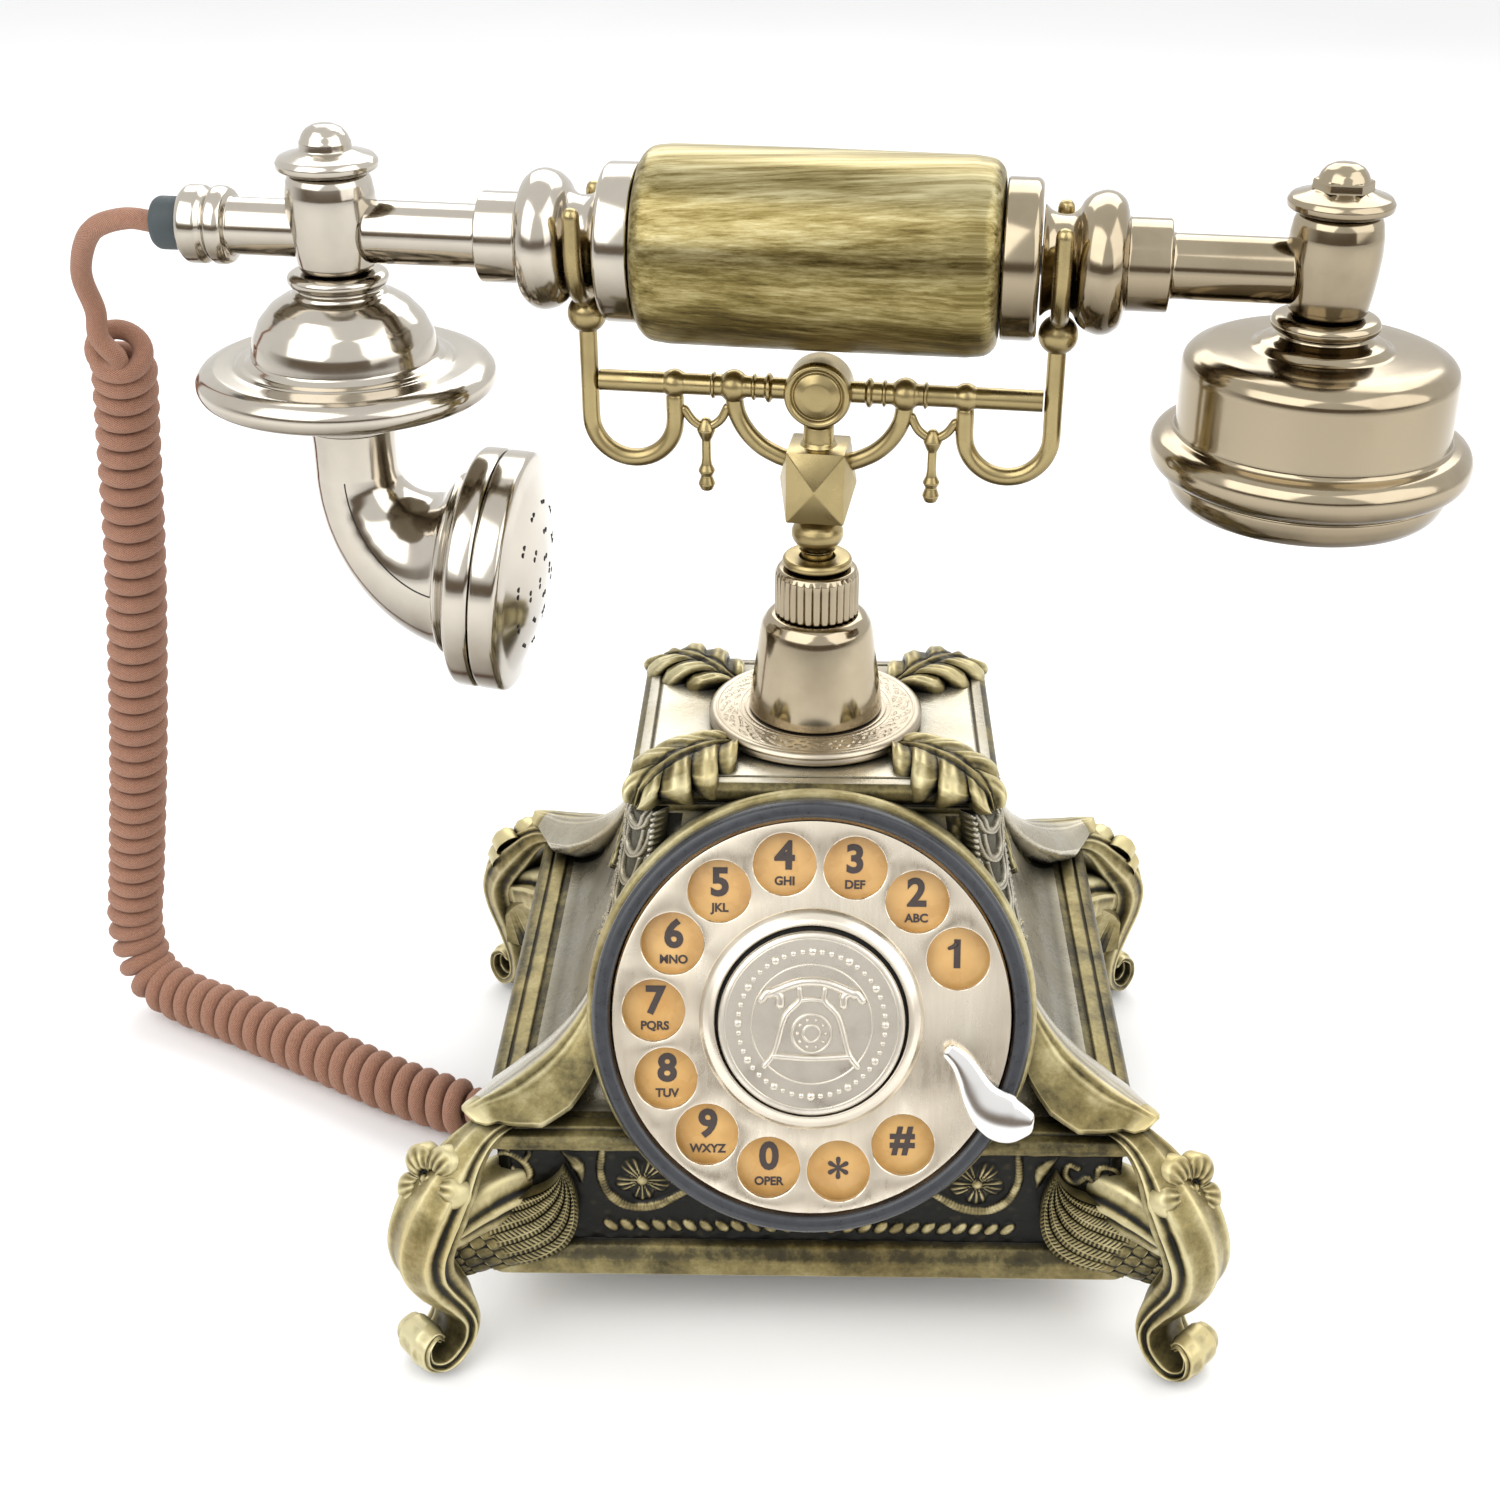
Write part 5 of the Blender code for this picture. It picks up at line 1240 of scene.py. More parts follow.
def word(text, x, y, size, bold):
    curve = bpy.data.curves.new("word", "FONT")
    curve.body = text
    curve.align_x, curve.align_y = "CENTER", "CENTER"
    curve.size = size
    curve.offset = bold * 0.6
    curve.extrude = 0.06
    curve.resolution_u = 4
    made = bpy.data.objects.new("word", curve)
    bpy.context.scene.collection.objects.link(made)
    bpy.context.view_layer.update()
    data = bpy.data.meshes.new_from_object(made.evaluated_get(bpy.context.evaluated_depsgraph_get()))
    bpy.data.objects.remove(made)
    data.transform(Matrix.Scale(MM, 4) @ DIAL_PLACE @ Matrix.Translation((x, y, PLATE_TOP)))
    solid = bpy.data.objects.new("word", data)
    bpy.context.scene.collection.objects.link(solid)
    data.materials.clear()
    data.materials.append(LOOKS["ink"])
    return solid


def finger_stop():
    """A smooth S: a broad pad over the bezel that narrows to the tip over the wheel."""
    path = [(47.6, -21.6, 2.0), (45.4, -21.4, 2.1), (42.4, -20.9, 2.2), (39.0, -18.7, 2.2),
            (36.4, -15.6, 2.1), (34.6, -12.0, 2.0), (32.4, -8.4, 1.8), (29.6, -6.0, 1.5)]
    line = smooth_path(path, 70)
    for axis in range(3):
        line[:, axis] = softened(line[:, axis], 12)
    wide = softened(spread([2.6, 5.0, 5.7, 5.2, 4.1, 3.3, 2.8, 2.3, 1.7], 70), 40)
    high = softened(spread([0.8, 1.25, 1.45, 1.4, 1.2, 1.1, 1.0, 0.9, 0.7], 70), 40)
    tangent = np.gradient(line, axis=0)
    side = np.cross(tangent[0], (0, 0, 1.0))
    made = section_sweep("finger_stop_visual", line, circle(32), wide, high, "silver", "base", DIAL_PLACE,
                         start=side, sharp=70.0)
    stands_for(made, "finger_stop", slot="bright_silver")


# ---------------------------------------------------------------- sculpted base


CORNERS = [(x, y) for y in (-1.0, 1.0) for x in (-1.0, 1.0)]
OUTWARD = np.array((0.75, 0.66, 0.0))
ACROSS = np.array((-0.66, 0.75, 0.0))


def flipped(x, y):
    return Matrix.Diagonal((x, y, 1.0, 1.0))


def write_wear(obj, values):
    attribute = obj.data.attributes.new("wear", "FLOAT", "POINT")
    attribute.data.foreach_set("value", clamp(values).astype(np.float32))


def blurred(field, rounds):
    for _ in range(rounds):
        padded = np.pad(field, 1, mode="edge")
        beside = padded[:-2, 1:-1] + padded[2:, 1:-1] + padded[1:-1, :-2] + padded[1:-1, 2:]
        field = (beside + 2 * field) / 6
    return field


def field_wear(rise, floor=0.30, gain=0.16, rounds=(2, 12)):
    """Wear from a height field: more on what stands up, less in what lies beside it."""
    near, far = blurred(rise, rounds[0]), blurred(rise, rounds[1])
    return floor + gain * rise + 1.7 * (rise - near) + 0.55 * (rise - far)


def mesh_sheet(name, points, rise, normal, look, place, wear=None, skirt=2.2, backed=False):
    """A carved sheet: points (rows x columns x 3) lifted along the normals, with its edges turned under."""
    rows, columns = rise.shape
    lifted = points + normal * rise[..., None]
    edge = np.zeros_like(rise, bool)
    edge[0], edge[-1], edge[:, 0], edge[:, -1] = True, True, True, True
    lifted = np.where(edge[..., None], points - normal * skirt, lifted)
    faces = grid_faces(rows, columns)
    if backed:
        for i in range(rows - 1):
            this, following = i * columns, (i + 1) * columns
            faces.append([this, following, following + columns - 1, this + columns - 1])
    made = new_object(name, lifted.reshape(-1, 3), faces, look, None, place, True, 60.0 if backed else None)
    if place.determinant() < 0:
        made.data.flip_normals()
    values = field_wear(rise) if wear is None else wear
    write_wear(made, values.reshape(-1))
    return made


def stroke(u, v, path, wide, count=40):
    """Height of a round strand laid along a path on a flat field."""
    line = smooth_path([(x, y, 0.0) for x, y in path], count)[:, :2]
    half = spread(wide if hasattr(wide, "__len__") else [wide, wide], count)
    reach = half.max()
    box = (u > line[:, 0].min() - reach) & (u < line[:, 0].max() + reach)
    box &= (v > line[:, 1].min() - reach) & (v < line[:, 1].max() + reach)
    out = np.zeros_like(u)
    near_u, near_v = u[box], v[box]
    best = np.zeros_like(near_u)
    for (x, y), r in zip(line, half):
        gap = ((near_u - x) ** 2 + (near_v - y) ** 2) / (r * r)
        best = np.maximum(best, np.sqrt(clamp(1 - gap)) * r)
    out[box] = best
    return out


def rosette(u, v, x, y, size, petals=5, turn=0.3):
    """A flower with veined petals and a round heart."""
    r = np.hypot(u - x, v - y) / size
    a = np.arctan2(v - y, u - x) + turn
    petal = 0.64 + 0.36 * np.abs(np.cos(petals * a / 2)) ** 0.6
    inside = clamp(1 - (r / petal) ** 2) ** 0.45
    split = np.abs(np.cos(petals * a / 2)) ** 0.5
    out = size * 0.22 * inside * (0.55 + 0.45 * split) * (0.75 + 0.25 * np.cos(petals * 4 * a))
    heart = size * 0.27 * np.sqrt(clamp(1 - (r / 0.26) ** 2))
    return np.maximum(out, heart)


def rope(u, v, height, start, end, pitch=3.6, long=2.2, thick=1.3, slant=0.75):
    """A row of slanted beads."""
    out = np.zeros_like(u)
    cosine, sine = math.cos(slant), math.sin(slant)
    for x in np.arange(start, end + 0.01, pitch):
        a, b = (u - x) * cosine + (v - height) * sine, -(u - x) * sine + (v - height) * cosine
        out = np.maximum(out, thick * np.sqrt(clamp(1 - (a / long) ** 2 - (b / thick) ** 2)))
    return out


def cast_surface(u, v):
    """The slight unevenness of a hand-carved ground."""
    return 0.10 * np.sin(0.9 * u + 1.7 * np.sin(0.31 * v)) * np.sin(1.1 * v + 1.3 * np.sin(0.23 * u))


C_SCROLL = ([(72.5, 3.6), (70.6, 8.6), (66.0, 10.4), (61.9, 8.0), (60.4, 4.2), (62.4, 1.9), (65.0, 3.0),
             (64.2, 5.4)], [0.5, 1.3, 1.0, 1.0, 1.0, 0.9])
C_CURL = ([(61.4, 8.0), (60.2, 10.2), (60.9, 12.2), (62.2, 12.0)], [0.9, 0.7, 0.8])
S_SCROLL = ([(63.4, 7.6), (61.4, 8.4), (60.9, 5.4), (63.2, 3.4), (65.7, 5.0), (67.6, 3.8), (68.4, 7.6),
             (71.4, 7.6), (73.6, 5.0)], [0.9, 0.8, 0.95, 0.9, 0.8, 0.95, 0.9, 0.7])
FRAME_LINE = ([(46.4, 12.5), (46.9, 5.5), (45.0, -0.5), (40.6, -3.6), (34.5, -3.2), (28.0, 0.6)],
              [1.0, 1.1, 1.35, 1.35, 1.0])
INNER_LEAF = ([(55.6, 12.0), (52.0, 8.0), (51.2, 3.0)], [0.4, 1.6, 0.4])


def front_panel(u, v):
    x = np.abs(u)
    rise = cast_surface(u, v)
    rise = np.maximum(rise, stroke(x, v, *FRAME_LINE))
    rise = np.maximum(rise, rosette(x, v, 37.6, 4.2, 6.4))
    rise = np.maximum(rise, stroke(x, v, *INNER_LEAF))
    left = np.maximum(stroke(-u - 2.5, v - 1.0, *C_SCROLL), stroke(-u - 2.5, v - 1.0, *C_CURL))
    rise = np.maximum(rise, np.maximum(left, stroke(u + 3.5, v - 1.0, *S_SCROLL)))
    rise = np.maximum(rise, rope(x, v, -9.3, 1.9, 48.0))
    rise = np.maximum(rise, 0.9 * clamp(1 - np.abs(v - 12.6) / 0.9) ** 0.5)
    return rise


def plain_panel(u, v):
    """The relief of the faces that no dial covers: a flower in a frame between two pairs of scrolls."""
    x = np.abs(u)
    rise = cast_surface(u, v)
    rise = np.maximum(rise, stroke(x, v, [(0.0, -5.2), (8.0, -4.4), (11.5, 0.5), (9.0, 6.4), (3.4, 8.0),
                                          (0.0, 11.6)], [0.8, 0.9, 0.7]))
    rise = np.maximum(rise, rosette(x, v, 0.0, 2.0, 5.4))
    for shift in (14.0, 34.0):
        path = [(shift, 9.0), (shift + 4.5, 10.0), (shift + 9.5, 6.0), (shift + 8.4, 0.6),
                (shift + 4.6, 0.2), (shift + 4.0, 3.6)]
        rise = np.maximum(rise, stroke(x, v, path, [0.5, 1.3, 1.1, 0.9, 0.9]))
        rise = np.maximum(rise, stroke(x, v, [(shift + 9.0, 5.0), (shift + 13.0, 8.6), (shift + 17.0, 8.0)],
                                       [0.9, 1.2, 0.4]))
    rise = np.maximum(rise, rope(x, v, -9.3, 1.9, 48.0))
    rise = np.maximum(rise, 0.9 * clamp(1 - np.abs(v - 12.6) / 0.9) ** 0.5)
    return rise


def panel(name, place, width, shape, step=0.32):
    """A relief panel on one wall of the plinth, 28 mm high about its middle line."""
    u, v = np.meshgrid(np.arange(-width / 2, width / 2 + step, step), np.arange(-14.0, 14.0 + step, step),
                       indexing="ij")
    rise = shape(u, v)
    points = np.stack([u, v, np.zeros_like(u)], axis=-1)
    return mesh_sheet(name, points, rise, np.array((0.0, 0.0, 1.0)), "deep", place,
                      field_wear(rise, 0.16, 0.30))


def wall_place(turn, reach):
    """Where a wall's middle lies: x runs along it, y runs up and z points out of it."""
    spin = Matrix.Rotation(math.radians(turn), 4, "Z")
    return spin @ Matrix.Translation((0.0, -reach, 38.4)) @ Matrix.Rotation(math.pi / 2, 4, "X")


def panels():
    made = [panel("front_panel", wall_place(0, 61.7), 140.0, front_panel),
            panel("back_panel", wall_place(180, 61.7), 140.0, plain_panel)]
    made += [panel("side_panel", wall_place(turn, 69.2), 125.0, plain_panel) for turn in (90, -90)]
    cut_window(made[1])
    for item, name in zip(made, ("carving_front", "carving_back", "carving_right", "carving_left")):
        item.name = name
        ornament(item)


def cut_window(sheet):
    """Opens the back carving over the line socket."""
    mesh = bmesh.new()
    mesh.from_mesh(sheet.data)
    inside = [v for v in mesh.verts if abs(v.co.x) < 8.3 * MM and 26 * MM < v.co.z < 39 * MM]
    bmesh.ops.delete(mesh, geom=inside, context="VERTS")
    mesh.to_mesh(sheet.data)
    mesh.free()


def ornament(item):
    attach(item, "base")
    return item


def ring_outline(half_x, half_y, height, corner, steps=8, span=26):
    """Points round a rounded rectangle; every outline has as many points."""
    points = []
    for quarter, (sx, sy) in enumerate(((1, 1), (-1, 1), (-1, -1), (1, -1))):
        angle = np.radians(np.linspace(90 * quarter, 90 * quarter + 90, steps + 1))
        centre = np.array((sx * (half_x - corner), sy * (half_y - corner)))
        arc_points = centre + corner * np.stack([np.cos(angle), np.sin(angle)], axis=-1)
        points += arc_points.tolist()
        nx, ny = ((-1, 1), (-1, -1), (1, -1), (1, 1))[quarter]
        after = np.radians(90 * quarter + 90)
        after_corner = corner * np.array((math.cos(after), math.sin(after)))
        end = np.array((nx * (half_x - corner), ny * (half_y - corner))) + after_corner
        share = np.linspace(0, 1, span + 2)[1:-1, None]
        points += (arc_points[-1] * (1 - share) + end * share).tolist()
    return [(x, y, height) for x, y in points]


def core():
    """Plinth, mouldings, pyramid and slab in one hollow casting, bored for the dial and the line socket."""
    lower = [(66.2, 58.7, 17.5, 3), (73.4, 65.9, 17.5, 4), (73.5, 66.0, 21.4, 4), (72.4, 64.9, 22.3, 4),
             (71.0, 63.5, 24.0, 4), (69.0, 61.5, 24.8, 3), (69.0, 61.5, 52.0, 3), (71.6, 64.1, 52.6, 4),
             (73.5, 66.0, 53.6, 4), (73.5, 66.0, 55.3, 4), (72.4, 64.9, 56.5, 4), (70.4, 62.9, 56.9, 4),
             (70.0, 62.5, 56.3, 4), (69.5, 62.0, 57.1, 4), (66.4, 58.9, 57.3, 4), (65.9, 58.4, 56.6, 4)]
    slope = [(65.6, 58.1, 56.8, 4), (60.6, 53.7, 58.8, 4), (56.0, 49.6, 63.4, 4), (51.0, 44.8, 73.2, 4),
             (47.1, 40.6, 84.0, 4), (43.8, 36.8, 95.0, 4), (41.2, 33.4, 105.0, 4), (39.2, 30.9, 113.0, 4),
             (38.0, 29.2, 119.0, 4)]
    slope = smooth_path(slope, 40).tolist()
    upper = [(38.0, 29.2, 119.6, 4), (39.6, 30.8, 120.2, 4), (39.8, 31.0, 121.6, 4), (38.9, 30.1, 122.2, 4),
             (40.0, 31.2, 123.0, 4), (41.1, 32.3, 124.4, 4), (40.8, 32.0, 126.2, 4), (39.4, 30.6, 127.3, 4),
             (37.2, 28.4, 127.6, 4), (36.8, 28.0, 127.1, 4), (36.2, 27.4, 127.5, 4),
             (20.0, 20.0, 127.5, 12), (4.5, 4.5, 127.5, 4.5), (4.5, 4.5, 119.5, 4.5)]
    inside = [(34.6, 25.8, 119.5, 3), (36.5, 28.1, 112.0, 3), (40.4, 33.4, 95.0, 3), (46.4, 40.4, 75.0, 3),
              (51.4, 45.9, 62.0, 3), (53.5, 48.5, 53.5, 3), (66.0, 58.5, 52.5, 3)]
    levels = fillet(lower + slope + upper, 0.6, 3) + inside
    rings = [ring_outline(*level) for level in levels]
    points = np.array(rings).reshape(-1, 3)
    made = new_object("base_core", points, grid_faces(len(rings), len(rings[0]), True, True), "resin", None,
                      WORLD, True, None)
    recalculate(made, None)
    seat = lathe("seat", [(0.0, -40.0), (41.5, -40.0), (41.5, -13.0), (46.2, -13.0), (46.2, -4.0),
                          (0.0, -4.0)], "resin", None, DIAL_PLACE, 120, radius=0.0)
    window = new_object("window", [(x, y, z) for x in (-8.3, 8.3) for y in (55, 70) for z in (26, 39)],
                        [[0, 1, 3, 2], [4, 6, 7, 5], [0, 4, 5, 1], [2, 3, 7, 6], [0, 2, 6, 4],
                         [1, 5, 7, 3]], "resin", None, WORLD, False)
    recalculate(window, None)
    carve(made, [seat, window])
    made.data.materials.append(LOOKS["smooth"])
    made.data.materials.append(LOOKS["carved"])
    heights, half_x, half_y = ([level[axis] for level in slope] for axis in (2, 0, 1))
    for polygon in made.data.polygons:
        centre = polygon.center / MM
        rolled = 119.3 < centre.z < 127.3
        if centre.z > 57.4 and not rolled:
            gap_x = np.interp(centre.z, heights, half_x) - abs(centre.x)
            gap_y = np.interp(centre.z, heights, half_y) - abs(centre.y)
            polygon.material_index = 2 if max(gap_x, gap_y) < 8.5 and centre.z < 118 else 1
    made.data.set_sharp_from_angle(angle=math.radians(50))
    convexity(made, (2, 5), (0.15, 0.5), 0.42)
    ornament(made)
    stands_for(made, "base_shell")


def carve(target, tools):
    for tool in tools:
        change = target.modifiers.new("cut", "BOOLEAN")
        change.operation, change.solver, change.object = "DIFFERENCE", "EXACT", tool
    bpy.context.view_layer.update()
    data = bpy.data.meshes.new_from_object(target.evaluated_get(bpy.context.evaluated_depsgraph_get()))
    target.modifiers.clear()
    target.data = data
    for tool in tools:
        bpy.data.objects.remove(tool, do_unlink=True)


def drum():
    """The housing round the dial, with its rolled gold rim."""
    profile = [(46.0, -31.0), (49.4, -31.0), (49.4, -10.6), (49.0, -9.6), (49.4, -8.6), (49.5, -7.6),
               (48.9, -6.5), (47.9, -6.15), (46.0, -6.15)]
    made = lathe("drum_housing", profile, "resin", None, DIAL_PLACE, 160, True, 0.5)
    convexity(made, (2, 6), (0.1, 0.4), 0.58)
    ornament(made)


def leaf(spine, width, place, name, lobes=5, rise=1.3, droop=0.085, rows=150, columns=84,
         out=(0.0, 0.0, 1.0)):
    """An acanthus leaf draped along a spine, facing out, with slanting lobes, a midrib and veins."""
    line = smooth_path(spine, rows)
    half = spread(width, rows)
    tangent = np.gradient(line, axis=0)
    tangent /= np.linalg.norm(tangent, axis=1)[:, None]
    side = np.cross(tangent, out)
    side /= np.linalg.norm(side, axis=1)[:, None] + 1e-9
    side = np.where(np.abs(tangent[:, 2:3]) > 0.985, side[int(rows * 0.5)][None, :], side)
    up = np.cross(side, tangent)
    s, t = np.meshgrid(np.linspace(0, 1, rows), np.linspace(-1, 1, columns), indexing="ij")
    phase = s * lobes - np.abs(t) * 0.95 + 0.5
    wave = np.abs(np.sin(math.pi * phase))
    reach = half[:, None] * (0.56 + 0.44 * wave ** 0.5)
    across = t * reach
    inner = np.abs(t)
    height = rise * wave ** 0.7 * clamp(inner * 1.6) ** 0.8
    height += 0.75 * np.exp(-(t / 0.07) ** 2) - 0.35 * np.exp(-((inner - 0.16) / 0.05) ** 2)
    height += 0.20 * np.cos(6 * math.pi * phase) * clamp(inner * 2) * (1 - inner ** 3)
    height -= 1.5 * clamp(inner - 0.86) / 0.14 * 0.6
    sag = (droop * across ** 2)[..., None]
    points = line[:, None, :] + side[:, None, :] * across[..., None] - up[:, None, :] * sag
    normal = np.broadcast_to(up[:, None, :], points.shape)
    return mesh_sheet(name, points, height, normal, "resin", place, field_wear(height, 0.30, 0.24), 1.6,
                      True)


def leaves():
    made = []
    spine = [(17.5, 14.0, 128.4), (23.0, 19.0, 130.6), (28.6, 24.0, 131.2), (34.0, 28.6, 129.8),
             (37.6, 31.8, 126.6), (39.0, 33.2, 122.4)]
    for x, y in CORNERS:
        made.append(leaf(spine, [3.0, 8.0, 10.8, 11.2, 8.6, 2.4], flipped(x, y), "leaf", 4, 2.3, 0.045))
    ornament(join("crest_leaves", made, "base"))
    sprigs = []
    for x, y in CORNERS:
        side = [(43.6, 36.0, 95.0), (45.2, 30.5, 90.5), (46.9, 22.5, 85.0), (49.6, 13.0, 78.0)]
        sprigs.append(leaf(side, [2.0, 5.6, 6.0, 2.0], flipped(x, y), "sprig", 4, 1.2, 0.03, 100, 48,
                           (0.93, 0.0, 0.36)))
    ornament(join("leaf_sprigs", sprigs, "base"))


def ribbon(x, y):
    """The draped cords and bead edging on one corner of the pyramid."""
    rows, columns = 210, 60
    line = smooth_path([(38.0, 29.2, 121.5), (38.8, 30.2, 113.0), (41.0, 33.4, 102.0), (43.6, 36.8, 92.0),
                        (45.6, 39.2, 85.0)], rows)
    length = np.concatenate([[0], np.cumsum(np.linalg.norm(np.diff(line, axis=0), axis=1))])
    v, u = np.meshgrid(length, np.linspace(-5.4, 5.4, columns), indexing="ij")
    rise = np.zeros_like(u)
    for k in range(6):
        low = 3.0 + 6.6 * k
        for shrink, lift in ((1.0, 0.0), (0.62, 0.6)):
            path = [(-4.3 * shrink, low - 5.0 + lift), (-3.6 * shrink, low + 0.2),
                    (-0.6, low + 2.6 * shrink), (2.6 * shrink, low + 1.4), (3.9 * shrink, low - 1.8),
                    (4.2 * shrink, low - 4.6 + lift)]
            rise = np.maximum(rise, 1.35 * stroke(u, v, path, [0.5, 0.62, 0.7, 0.62, 0.5], 36))
    for edge in (-4.75, 4.75):
        for spot in np.arange(0.8, length[-1], 1.45):
            gap = ((u - edge) ** 2 + (v - spot) ** 2) / 0.62 ** 2
            rise = np.maximum(rise, 0.85 * np.sqrt(clamp(1 - gap)))
    bulge = 1.9 - 0.052 * u ** 2
    fade = clamp(np.minimum(v, length[-1] - v) / 2.0)
    points = line[:, None, :] + ACROSS * u[..., None] + OUTWARD * (bulge * fade - 0.6)[..., None]
    normal = np.broadcast_to(OUTWARD, points.shape)
    return mesh_sheet("ribbon", points, rise, normal, "smooth", flipped(x, y), field_wear(rise, 0.10, 0.34),
                      3.0)


def bracket_section(sides=72):
    """A leaf-like section: a grooved ridge on top and a full belly below."""
    angle = around(sides)
    a, c = np.sin(angle), np.cos(angle)
    top = -0.44 * np.abs(a) ** 1.5
    narrow = np.where(a < 0, 0.66, 1.0)
    for groove in (0.07, 0.19, 0.31):
        top -= 0.035 * np.exp(-((np.abs(a) - groove) / 0.022) ** 2)
    bottom = -0.44 - 0.60 * np.sqrt(clamp(1 - a * a))
    return np.stack([a * narrow, np.where(c > 0, top, bottom)], axis=-1)


def bracket(x, y):
    """A scroll that grows out of the pyramid's corner and curls to a rounded tip over the plinth's."""
    ridge = [(44.6, 38.2, 92.0), (47.4, 41.2, 84.0), (51.6, 45.2, 76.6), (57.0, 50.0, 71.0),
             (63.0, 54.8, 67.6), (68.4, 59.0, 65.6), (72.4, 62.0, 64.6)]
    count = 90
    line = smooth_path(ridge, count)
    wide = spread([1.4, 3.0, 4.9, 7.4, 10.4, 12.6, 12.2, 6.4], count)
    deep = spread([1.6, 3.2, 5.0, 7.2, 9.2, 10.4, 9.6, 5.0], count)
    section = bracket_section()
    made = section_sweep("bracket", line, section, wide, deep, "resin", None, flipped(x, y), start=ACROSS,
                         sharp=60.0)
    made.data.materials.append(LOOKS["smooth"])
    for polygon in made.data.polygons:
        if polygon.index < (count - 1) * len(section) and section[polygon.index % len(section), 0] < -0.03:
            polygon.material_index = 1
    return made


def corner_point(out, height, across=0.0):
    return tuple(np.array((70.0, 62.5, height)) + OUTWARD * out + ACROSS * across)


def fluted(sides=96, flutes=9, depth=0.17):
    angle = around(sides)
    uneven = flutes * angle + 0.9 * np.sin(2 * angle + 0.6) + 0.5 * np.sin(5 * angle)
    reach = 1.0 - depth * (0.5 - 0.5 * np.cos(uneven)) ** 0.6 * (0.75 + 0.35 * np.sin(3 * angle + 1.0))
    return np.stack([reach * np.cos(angle), reach * np.sin(angle)], axis=-1)


def leg(x, y):
    """A cabriole leg: rib, knee, waist and a foot rolled up into a scroll."""
    route = [(-6.0, 57.0), (1.0, 57.6), (7.0, 54.6), (12.6, 48.6), (17.6, 42.4), (20.6, 36.0), (20.6, 30.0),
             (18.4, 24.6), (15.4, 19.0), (13.6, 13.6), (14.4, 8.4), (17.6, 4.6), (21.4, 3.4), (24.6, 5.6),
             (24.6, 9.6), (21.8, 11.4), (20.0, 9.4)]
    line = smooth_path([corner_point(out, height) for out, height in route], 150)
    wide = spread([2.5, 3.8, 4.8, 6.4, 8.4, 9.6, 9.8, 9.4, 8.8, 8.4, 8.6, 8.8, 8.4, 8.0, 7.2, 6.4, 5.0],
                  150)
    thick = spread([2.0, 3.0, 3.8, 4.8, 6.0, 6.6, 6.6, 6.4, 6.0, 5.6, 4.8, 3.4, 2.6, 2.3, 2.1, 1.9, 1.6],
                   150)
    return section_sweep("leg", line, fluted(), wide, thick, "resin", None, flipped(x, y), start=ACROSS,
                         sharp=60.0)


def shoulder(x, y):
    """The mass that joins the leg to the plinth's corner."""
    line = smooth_path([(60.0, 53.0, 36.0), (67.0, 58.6, 38.0), (74.0, 64.2, 38.0), (81.0, 70.0, 35.0)], 50)
    wide = spread([6.5, 7.0, 7.2, 5.4], 50)
    thick = spread([7.6, 8.2, 8.0, 6.0], 50)
    section = fluted(64, 7, 0.18)
    place = flipped(x, y)
    return section_sweep("shoulder", line, section, wide, thick, "resin", None, place, start=ACROSS,
                         sharp=60.0)


def flower(x, y):
    """A five-petalled flower on the knee."""
    rows, columns, size = 26, 140, 9.6
    r, a = np.meshgrid(np.linspace(0.0, 1.0, rows), around(columns), indexing="ij")
    petal = 0.60 + 0.40 * np.abs(np.cos(2.5 * a)) ** 0.55
    reach = r * petal * size
    split = np.abs(np.cos(2.5 * a))
    height = 2.3 * np.sin(math.pi * clamp(r) ** 1.4) ** 0.7 * (0.35 + 0.65 * split ** 0.5)
    height += 0.3 * np.cos(20 * a) * r * (1 - r) * 2.4
    height += 1.7 * np.sqrt(clamp(1 - (r / 0.22) ** 2)) - 0.9 * np.exp(-((r - 0.30) / 0.06) ** 2)
    normal = Vector((0.52, 0.70, 0.46)).normalized()
    turn = normal.to_track_quat("Z", "Y").to_matrix().to_4x4()
    place = flipped(x, y) @ Matrix.Translation((83.0, 72.6, 49.6)) @ turn
    drop = np.where(r > 0.97, -3.0, 0.0)
    points = np.stack([reach * np.cos(a), reach * np.sin(a), height + drop], axis=-1).reshape(-1, 3)
    made = new_object("flower", points, grid_faces(rows, columns, False, True), "resin", None, place, True,
                      None)
    recalculate(made, None)
    return made


WING_TOP = [(2.0, 4.6), (5.0, 9.0), (9.7, 12.0), (16.0, 13.6), (22.0, 14.2), (28.0, 16.2), (31.4, 19.0),
            (33.2, 22.0)]
WING_LOW = [(2.0, -4.0), (8.0, -4.8), (14.0, -4.6), (21.0, -4.2), (27.5, -3.6), (32.7, -0.6), (35.8, 5.4),
            (36.2, 12.4), (35.0, 18.0), (33.4, 22.0)]


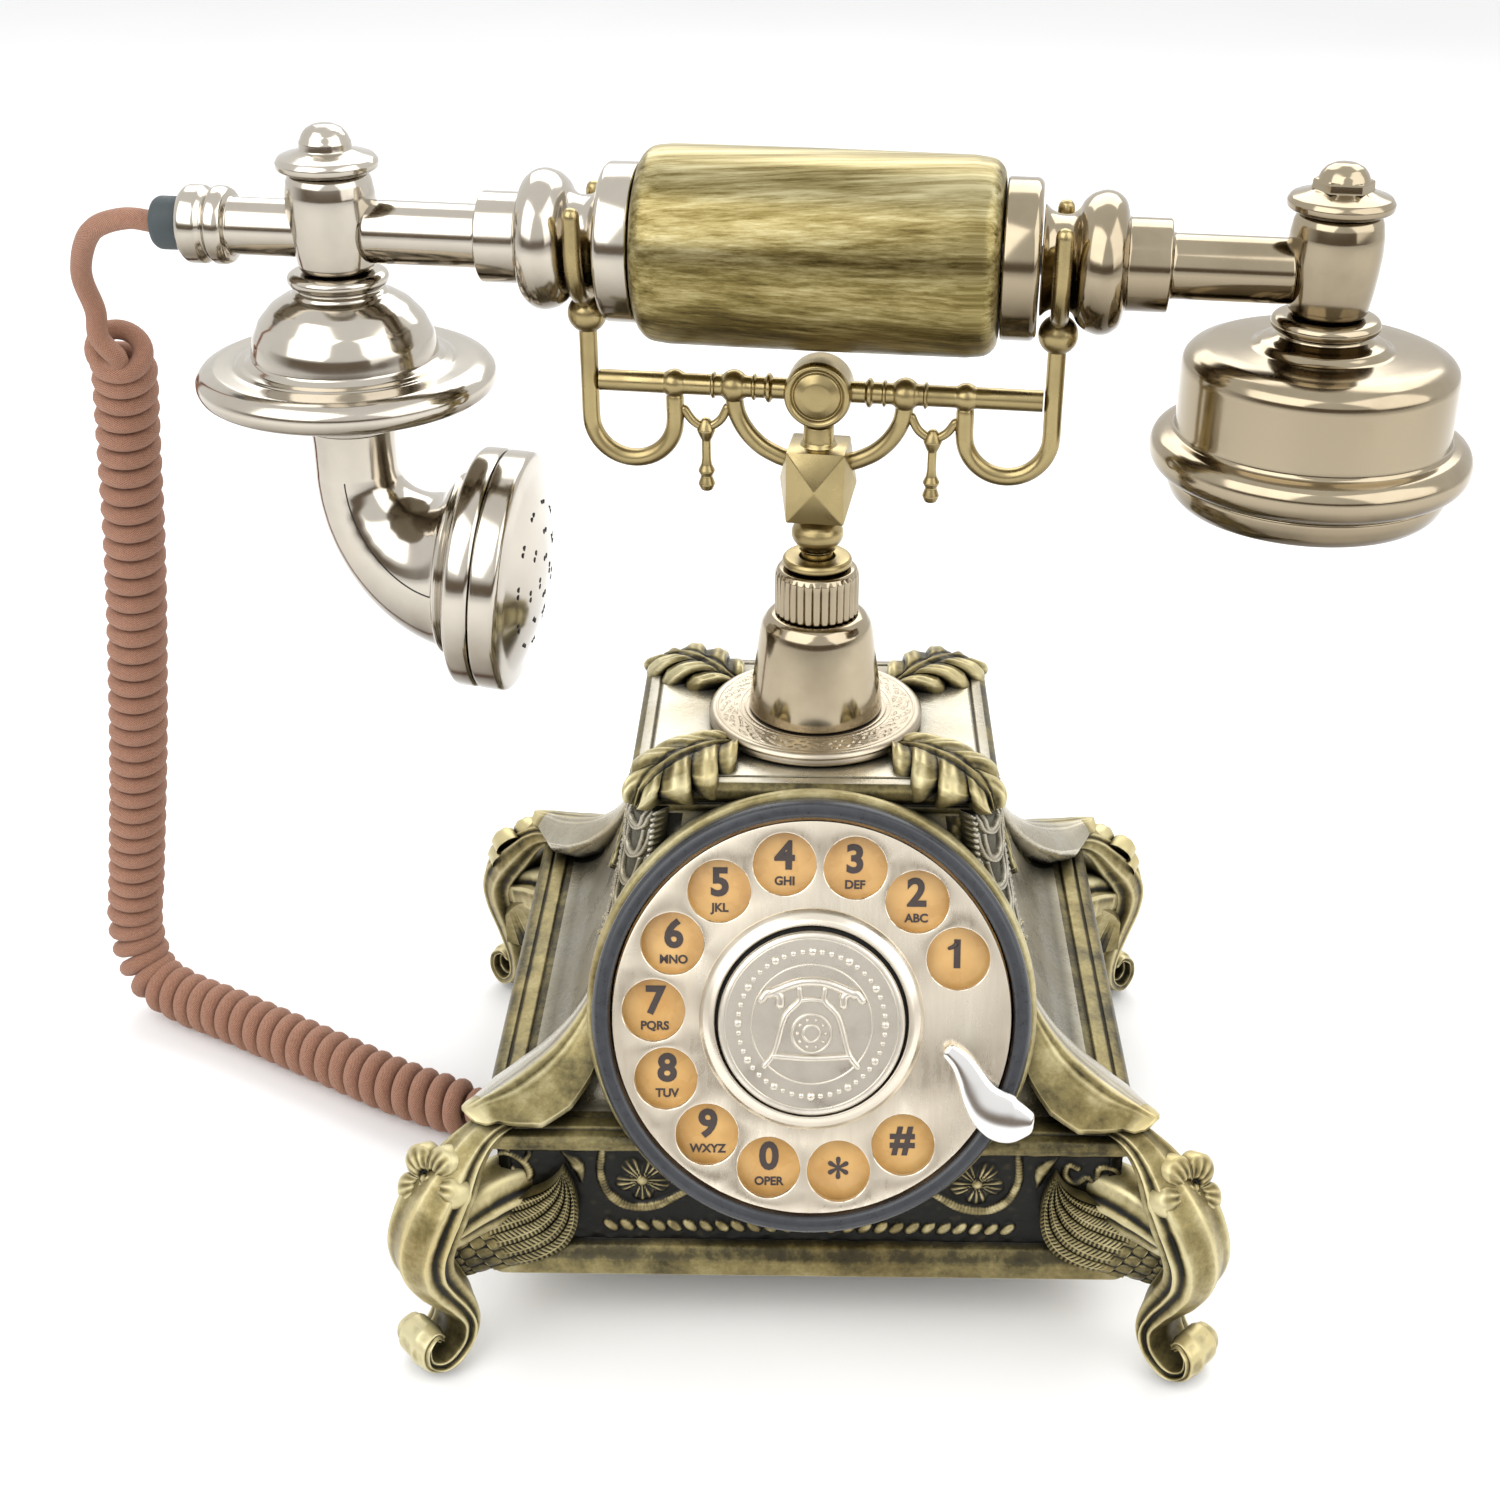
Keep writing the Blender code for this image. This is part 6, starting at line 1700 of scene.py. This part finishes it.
def wing(x, y):
    """A feathered wing on the plinth's front or back wall, next to the leg."""
    rows, columns = 250, 96
    top, low = smooth_path([(u, v, 0) for u, v in WING_TOP],
                           rows), smooth_path([(u, v, 0) for u, v in WING_LOW], rows)
    s, r = np.meshgrid(np.linspace(0, 1, rows), np.linspace(0, 1, columns), indexing="ij")
    flat = top[:, None, :] * (1 - r[..., None]) + low[:, None, :] * r[..., None]
    feathers = 5.0
    phase = r * feathers
    part = phase - np.floor(phase)
    vane = np.sqrt(clamp(1 - (2 * part - 1) ** 2))
    barb = np.sin(2 * math.pi * (s * 46 + np.abs(part - 0.5) * 1.7))
    quill = np.exp(-((part - 0.5) / 0.07) ** 2)
    plume = 0.95 * vane ** 0.8 + 0.20 * barb * vane * (1 - quill) + 0.25 * quill
    cell_s, cell_r = s * 15.0, r * 5.5
    shift = cell_r + 0.5 * (np.floor(cell_s) % 2)
    fs, fr = cell_s - np.floor(cell_s), (shift - np.floor(shift)) * 2 - 1
    scale = 1.15 * np.sqrt(clamp(1 - 0.75 * fs ** 2 - 0.8 * fr ** 2)) * (0.6 + 0.4 * fs)
    blend = clamp((s - 0.36) / 0.04)
    detail = scale * (1 - blend) + plume * blend
    rim = clamp(1 - r / 0.055) ** 0.5 * 1.2
    detail = np.maximum(detail * clamp(r / 0.075), rim)
    swell = 3.4 * clamp(np.sin(math.pi * np.clip(r, 0.04, 0.96))) ** 0.5 * (1 - 0.55 * s) + 1.0
    rise = swell + detail
    stood_up = Matrix(((-1, 0, 0, 0), (0, 0, 1, 0), (0, 1, 0, 0), (0, 0, 0, 1)))
    place = flipped(x, y) @ Matrix.Translation((88.4, 61.2, 24.6)) @ stood_up
    lean = np.stack([np.zeros_like(s), np.zeros_like(s), 1.2 + 6.4 * clamp(1 - s / 0.55) ** 1.2], axis=-1)
    wear = field_wear(detail, 0.34, 0.20)
    return mesh_sheet("wing", flat + lean, rise, np.array((0.0, 0.0, 1.0)), "resin", place, wear, 4.0, True)


def corner_pieces():
    groups = {"scroll_brackets": bracket, "legs": leg, "shoulders": shoulder, "knee_flowers": flower}
    for name, make in groups.items():
        pieces = [make(x, y) for x, y in CORNERS]
        whole = join(name, pieces, "base")
        convexity(whole, (3, 12), (0.10, 0.45), 0.56)
        ornament(whole)
    ornament(join("wings", [wing(x, y) for x, y in CORNERS], "base"))
    ornament(join("corner_ribbons", [ribbon(x, y) for x, y in CORNERS], "base"))


def base():
    core()
    drum()
    panels()
    leaves()
    corner_pieces()


# ---------------------------------------------------------------- inner parts


def inner_parts():
    finish = {"bottom_cover": "plastic", "dial_frame": "steel", "dial_gear": "brass",
              "dial_spring": "steel", "governor": "brass", "hook_spring": "steel", "hook_bracket": "steel",
              "hook_switch": "plastic", "hook_lever": "steel", "circuit_board": "board",
              "line_jack": "plastic", "gong_left": "brass", "gong_right": "brass",
              "ringer_magnet": "copper", "loudspeaker": "plastic", "clapper": "steel",
              "cord_grommet": "rubber", "tie_rod": "steel", "microphone": "plastic",
              "receiver_capsule": "plastic"}
    for number in range(1, 5):
        finish[f"bottom_screw_{number}"] = "steel"
    for node, look in finish.items():
        repaint(node, look)


camera()
studio()
floor()
strain_relief()
cord_length = cord()
handset()
mouthpiece()
receiver()
cradle()
stem()
dial()
inner_parts()
base()
